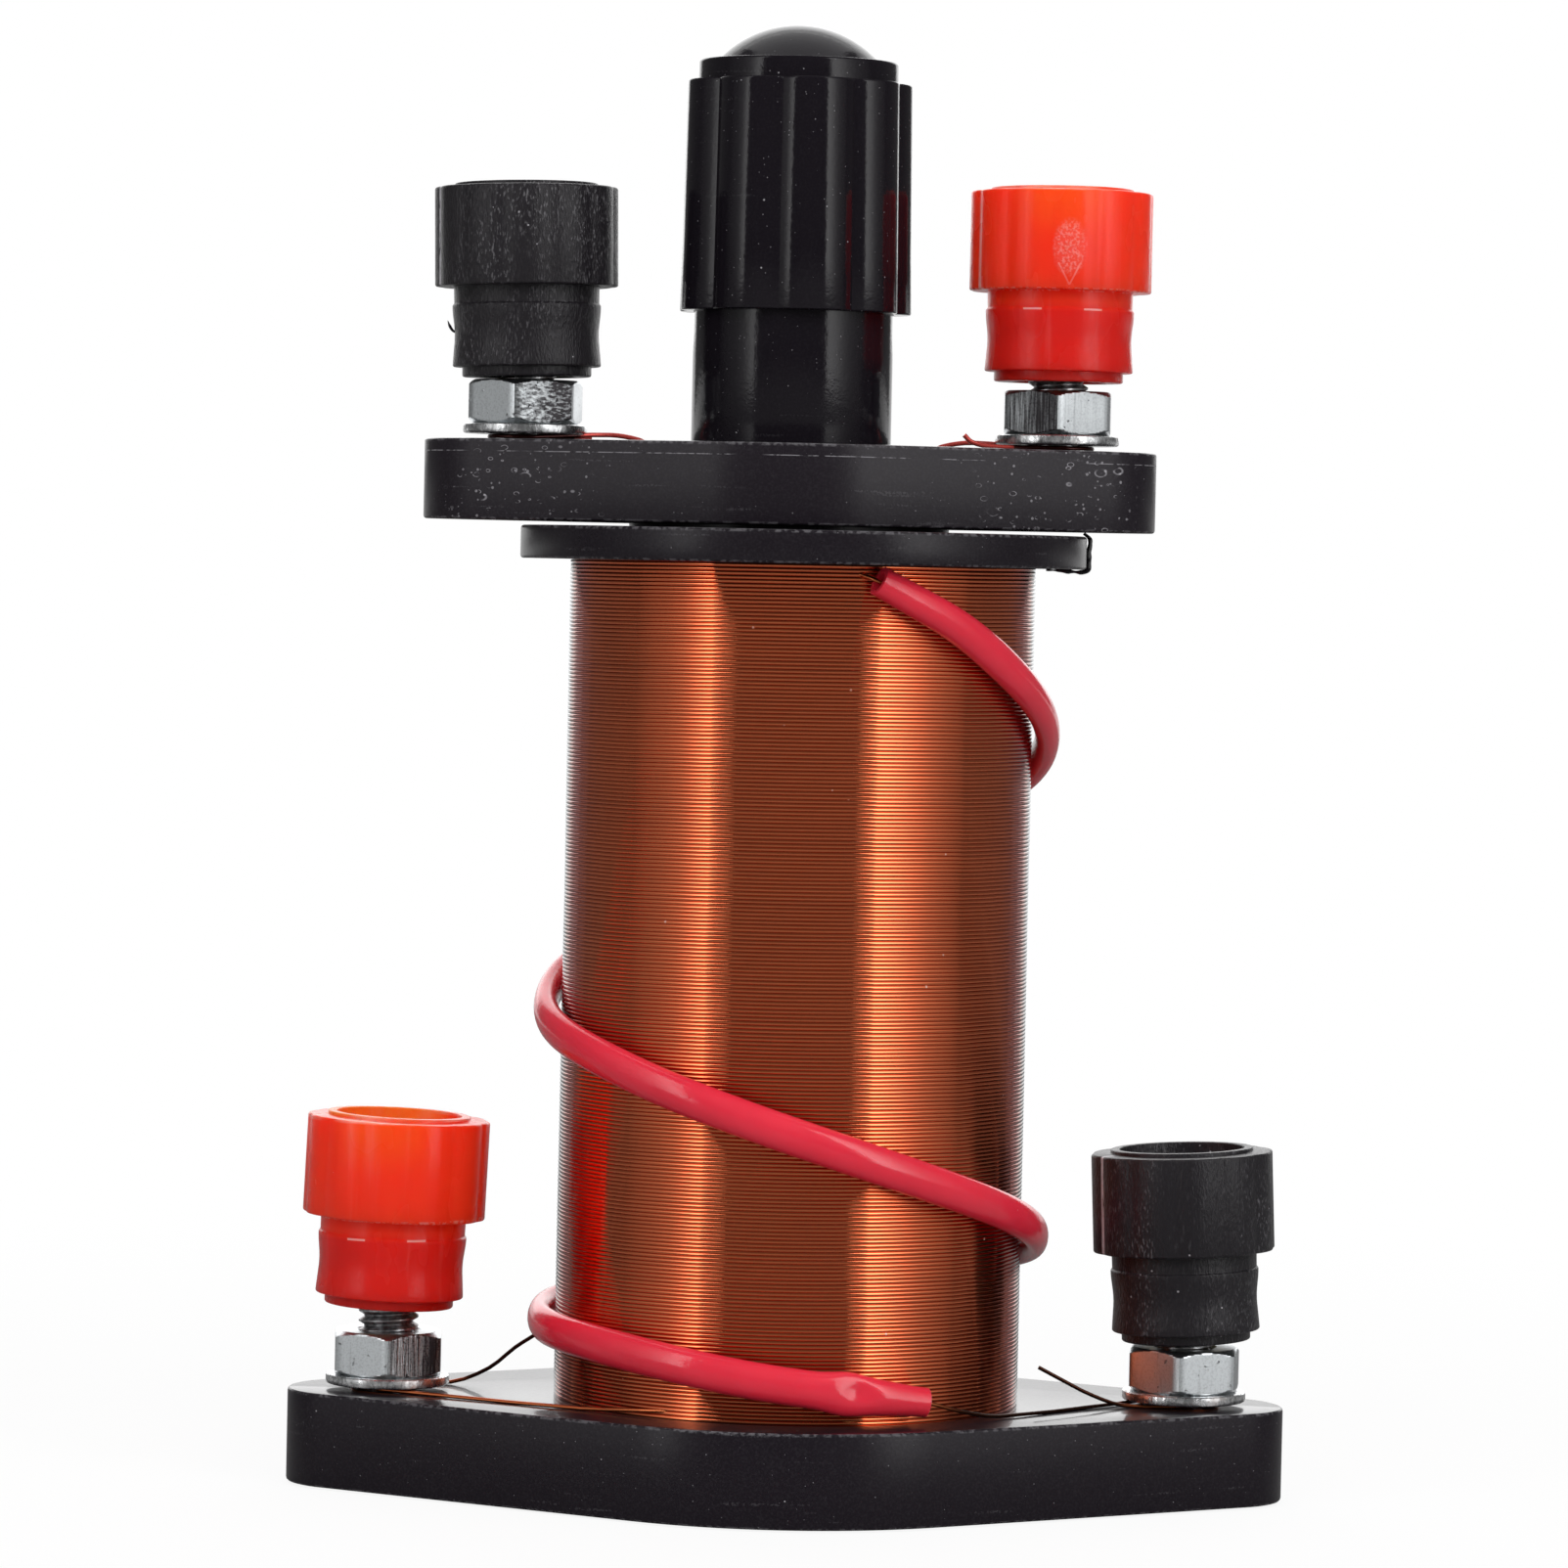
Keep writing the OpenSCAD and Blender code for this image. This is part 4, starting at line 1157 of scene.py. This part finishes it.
def make_post(name, body, plate_bottom):
    at = Matrix.Translation((POST_X[name], 0, 0))
    washer_z = box_mm(group_node(name, "washers"))[0].z
    nut_z = washer_z + WASHER_T
    stud_top = nut_z + NUT_H + STUD_UP
    head_r = NUT_AF / 2 / math.cos(math.radians(30))
    head_z = plate_bottom + POCKET_DEPTH - HEAD_H

    head = six_sided(turned([
        (0, head_z, 0), (NUT_AF / 2 - 0.2, head_z, 0.1), (head_r, head_z + 0.7, 0.1),
        (head_r, head_z + HEAD_H, 0.1), (0, head_z + HEAD_H, 0),
    ]), NUT_AF, STUD_R + 1)
    root = STUD_R - THREAD_DEPTH
    shank = turned([
        (0, head_z + HEAD_H, 0), (STUD_R, head_z + HEAD_H, 0), (STUD_R, washer_z, 0),
        (root, washer_z + 0.5, 0), (root, stud_top - 0.4, 0), (root - 0.4, stud_top, 0),
        (0, stud_top, 0),
    ], 48)
    bolt = joined([head, shank, threaded(nut_z, stud_top)])

    washer = turned([
        (STUD_R + STUD_ROOM, washer_z, 0.1), (WASHER_R, washer_z, 0.25),
        (WASHER_R, nut_z, 0.25), (STUD_R + STUD_ROOM, nut_z, 0.1),
    ])

    face_r = NUT_AF / 2 - NUT_BEVEL
    crown = [(face_r + (head_r - 0.1 - face_r) * k / 5, k / 5) for k in range(6)]
    rise = (head_r - 0.1 - face_r) * math.tan(math.radians(30))
    low_side = [(r, nut_z + rise * up, 0) for r, up in crown]
    high_side = [(r, nut_z + NUT_H - rise * up, 0) for r, up in reversed(crown)]
    bore = STUD_R + FIT
    nut = six_sided(turned([
        (bore, nut_z + 0.3, 0), (bore + 0.3, nut_z, 0), *low_side, *high_side,
        (bore + 0.3, nut_z + NUT_H, 0), (bore, nut_z + NUT_H - 0.3, 0),
    ]), NUT_AF, STUD_R + 1)
    moved(nut, about_z(NUT_TURN[name]))

    for kind, shape, slot, finish in (
        ("bolt", bolt, "bolt_steel", stud_steel),
        ("washer", washer, "zinc_steel", washer_zinc),
        ("nut", nut, "zinc_steel", nut_finish(name)),
    ):
        add_piece(
            f"{name}_{kind}", moved(shape, at), body, finish, [group_node(name, f"{kind}s")], 18
        )


# Screw caps


def make_cap(name, red):
    nut_top = box_mm(group_node(name, "nuts"))[1].z
    seat = (
        Matrix.Translation((POST_X[name], 0, nut_top + STUD_UP / 2))
        @ Matrix.Rotation(math.radians(CAP_LEAN[name]), 4, "Y")
        @ Matrix.Translation((0, 0, CAP_GAP[name] - STUD_UP / 2))
    )
    hole = INSERT_R + INSERT_ROOM
    head = CAP_FOOT_TO_HEAD
    cap = turned([
        (hole, 0, 0), (COLLAR_R, 0, 0.2), (COLLAR_R, COLLAR_H, 0), *CAP_WAIST,
        (CAP_HEAD_R, head, 0.22), (CAP_HEAD_R, CAP_H, 0.25),
        (CUP_R + LIP_WALL, CAP_H, 0.08), (CUP_R + LIP_WALL, CAP_H + LIP_H, 0.15),
        (CUP_R, CAP_H + LIP_H, 0.15), (CUP_R, CUP_FLOOR, 0.3), (hole, CUP_FLOOR, 0),
    ], 144)
    ribbed(cap, head, CAP_H, CAP_RIBS_FROM, CAP_RIBS, CAP_HEAD_R, CAP_RIB_R)
    moved(cap, seat @ about_z(CAP_TURN[name]))
    if red:
        marked = name == "plate_right"
        finish = clear_red_cap(f"{name}_red", POST_X[name], seat.translation.z, marked)
    else:
        finish = matt_cap(f"{name}_black", POST_X[name], CAP_TURN[name] + CAP_PAINTED_REFLECTION_TURN)
    add_piece(f"{name}_screw_cap", cap, f"{name}_screw_cap", finish, [f"{name}_cap"], 30)
    insert = turned([
        (INSERT_BORE, INSERT_LIFT, 0.2), (INSERT_R, INSERT_LIFT, 0.15),
        (INSERT_R, CUP_FLOOR, 0.15), (INSERT_BORE, CUP_FLOOR, 0.3),
    ], 72)
    moved(insert, seat)
    add_piece(f"{name}_brass", insert, f"{name}_thread", insert_brass, [f"{name}_insert"])


# Core and knob


def make_core():
    rod = turned([
        (0, core_low.z, 0), (CORE_R, core_low.z, 0.5), (CORE_R, core_high.z, 0.4), (0, core_high.z, 0)
    ])
    add_piece("core_rod", put(rod, primary_x), "core", core_iron, ["iron_core"])
    neck_r = neck_high.x - primary_x
    neck = turned([
        (CORE_R + FIT, neck_low.z, 0), (neck_r, neck_low.z, 0.2), (neck_r, neck_high.z, 0.3),
        (CORE_R + FIT, neck_high.z, 0),
    ], 128)
    add_piece("neck", put(neck, primary_x), "core", knob_black, ["core_neck"])

    low, high = knob_low.z, knob_high.z
    skirt_top = high - SHOULDER_H
    neck_hole = neck_r + FIT
    screw_hole = SCREW_R + STUD_ROOM
    spigot_hole = SPIGOT_R + FIT
    web_low = low + NECK_GRIP
    web_high = web_low + KNOB_WEB
    knob = turned([
        (neck_hole, low, 0), (SKIRT_R, low, 0.2), (SKIRT_R, skirt_top, 0.25),
        (SHOULDER_R, skirt_top, 0), (SHOULDER_R, high, 0.3), (spigot_hole, high, 0.1),
        (spigot_hole, web_high, 0), (screw_hole, web_high, 0), (screw_hole, web_low, 0),
        (neck_hole, web_low, 0),
    ], 180)
    ribbed(knob, low, skirt_top, neck_hole + 0.3, SKIRT_RIBS, SKIRT_R, RIB_R)
    for v in knob.verts:
        if v.co.xy.length > SHOULDER_R + 0.05:
            v.co.xy *= 1 - SKIRT_DRAFT / SKIRT_R * (v.co.z - low) / (skirt_top - low)
    moved(knob, about_z(SKIRT_TURN))
    add_piece("knob", put(knob, primary_x), "core", knob_black, ["core_knob"], 30)

    ball = (DOME_R**2 + DOME_H**2) / (2 * DOME_H)
    middle = high + DOME_H - ball
    rise = [math.asin(DOME_R / ball) * k / 12 for k in range(12, 0, -1)]
    arc = [(ball * math.sin(a), middle + ball * math.cos(a), 0) for a in rise]
    dome = turned([
        (0, dome_low.z, 0), (SPIGOT_R, dome_low.z, 0.2), (SPIGOT_R, high, 0), *arc,
        (0, middle + ball, 0),
    ])
    add_piece("dome", put(dome, primary_x), "core", knob_black, ["knob_dome"])


make_base()
make_bobbin()
make_plate()
make_secondary_winding()
make_primary_winding()
make_sleeve()
make_base_leads()
make_plate_leads()
make_threads()
for post in POST_X:
    on_base = post.startswith("base")
    make_post(post, "secondary_coil" if on_base else "primary_coil", 0 if on_base else plate_low.z)
for post in POST_X:
    make_cap(post, post in RED_CAPS)
make_core()

# Carried-over nodes

for node, finish in {
    "secondary_layers": winding_copper,
    "primary_bobbin": bobbin_black,
    "knob_screw": stud_steel,
}.items():
    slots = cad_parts[node].data.materials
    slots.clear()
    slots.append(finish)


# Floor, backdrop and light


FLOOR_Z = -0.0002
FLOOR_REACH = 3
BACKDROP_Y = 1.3
BACKDROP_REACH = 0.7
BACKDROP_H = 1.2


def stage_plane(name, corners, finish):
    mesh = bpy.data.meshes.new(name)
    bm = bmesh.new()
    bm.faces.new([bm.verts.new(c) for c in corners])
    bm.to_mesh(mesh)
    bm.free()
    mesh.materials.append(finish)
    made = linked(name, mesh)


def white_to_camera(name, albedo, share):
    """Pale surface that shows as white, with a share of its own light and shadow near the object."""
    made, paint = material(name)
    path = paint.node("ShaderNodeLightPath")
    spot = paint.place()
    _, back, _ = paint.axes(spot)
    away = paint.node("ShaderNodeVectorMath", {"operation": "LENGTH"}, {0: spot})["Value"]
    shiny = path["Is Glossy Ray"] * paint.step(back, 0.6, 1.1)
    seen = paint.math("MAXIMUM", path["Is Camera Ray"], path["Is Transmission Ray"])
    seen = paint.math("MAXIMUM", seen, shiny)
    shade = paint.mix(path["Is Camera Ray"], (albedo, albedo, albedo), (0.95, 0.95, 0.95))
    own = paint.node("ShaderNodeBsdfDiffuse", {}, {"Color": shade})["BSDF"]
    white = paint.node("ShaderNodeEmission", {}, {"Color": (1, 1, 1, 1), "Strength": 1.0})["Emission"]
    near = 1 - paint.step(away, 0.08, 0.30)
    both = paint.node("ShaderNodeMixShader", {}, {0: seen * (1 - near * share), 1: own, 2: white})[0]
    paint.node("ShaderNodeOutputMaterial", {}, {"Surface": both})
    return made


around = ((-1, -1), (1, -1), (1, 1), (-1, 1))
floor_corners = [(FLOOR_REACH * x, FLOOR_REACH * y, FLOOR_Z) for x, y in around]
backdrop_corners = [(BACKDROP_REACH * x, BACKDROP_Y, BACKDROP_H * (z + 1) / 2) for x, z in around]
stage_plane("floor", floor_corners, white_to_camera("floor_white", 0.3, 0.1))
stage_plane("backdrop", backdrop_corners, white_to_camera("backdrop_white", 0.3, 0.0))


LIT_AT = Vector((0, 0, 0.07))


def softbox(name, azimuth, elevation, distance, width, height, level, shiny=True, fade=()):
    """An area light that faces the object, by its azimuth from the camera to the right.

    A fade is pairs of a place, from the side nearer the camera outwards, and a share of the level.
    """
    light = bpy.data.lights.new(name, "AREA")
    light.shape = "RECTANGLE"
    light.size = width
    light.size_y = height
    light.energy = level * math.pi * width * height
    if fade:
        light.use_nodes = True
        paint = Paint(light.node_tree)
        across, _, _ = paint.axes(paint.node("ShaderNodeNewGeometry")["Parametric"])
        outwards = across if azimuth > 0 else 1 - across
        stops = [(place, (share, share, share)) for place, share in fade]
        shade = paint.node("ShaderNodeValToRGB", {"stops": stops}, {0: outwards})["Color"]
        glow = paint.node("ShaderNodeEmission", {}, {"Color": shade, "Strength": 1.0})["Emission"]
        paint.node("ShaderNodeOutputLight", {}, {"Surface": glow})
    made = linked(name, light)
    a, e = math.radians(azimuth), math.radians(elevation)
    away = Vector((math.sin(a) * math.cos(e), -math.cos(a) * math.cos(e), math.sin(e)))
    made.location = LIT_AT + away * distance
    made.rotation_mode = "QUATERNION"
    made.rotation_quaternion = away.to_track_quat("Z", "Y")
    made.visible_camera = False
    made.visible_glossy = shiny


LEFT_FADE = [
    (0, 1.0), (0.10, 0.94), (0.196, 0.63), (0.286, 0.35), (0.376, 0.21), (0.57, 0.10), (1, 0.012),
]
RIGHT_FADE = [
    (0, 1.0), (0.121, 1.0), (0.284, 0.68), (0.438, 0.34), (0.59, 0.17), (0.745, 0.095), (1, 0.025),
]

softbox("left", -65.3, 8, 0.9, 0.72, 1.7, 3.6, fade=LEFT_FADE)
softbox("right", 63.2, 8, 0.9, 0.83, 1.7, 4.0, fade=RIGHT_FADE)
softbox("overhead", 180, 72, 1.1, 1.0, 1.0, 1.0)
softbox("back", 180, 27, 1.0, 1.2, 0.85, 1.0)
softbox("front_fill", 0, 38, 1.3, 1.2, 1.2, 2.4, shiny=False)

world = bpy.data.worlds.new("studio")
bpy.context.scene.world = world
world.use_nodes = True
sky = Paint(world.node_tree)
ray = sky.node("ShaderNodeLightPath")
dim = sky.node("ShaderNodeBackground", {}, {"Color": (1, 1, 1, 1), "Strength": 0.145})["Background"]
bright = sky.node("ShaderNodeBackground", {}, {"Color": (1, 1, 1, 1), "Strength": 1.0})["Background"]
shown = sky.node("ShaderNodeMixShader", {}, {0: ray["Is Camera Ray"], 1: dim, 2: bright})[0]
sky.node("ShaderNodeOutputWorld", {}, {"Surface": shown})
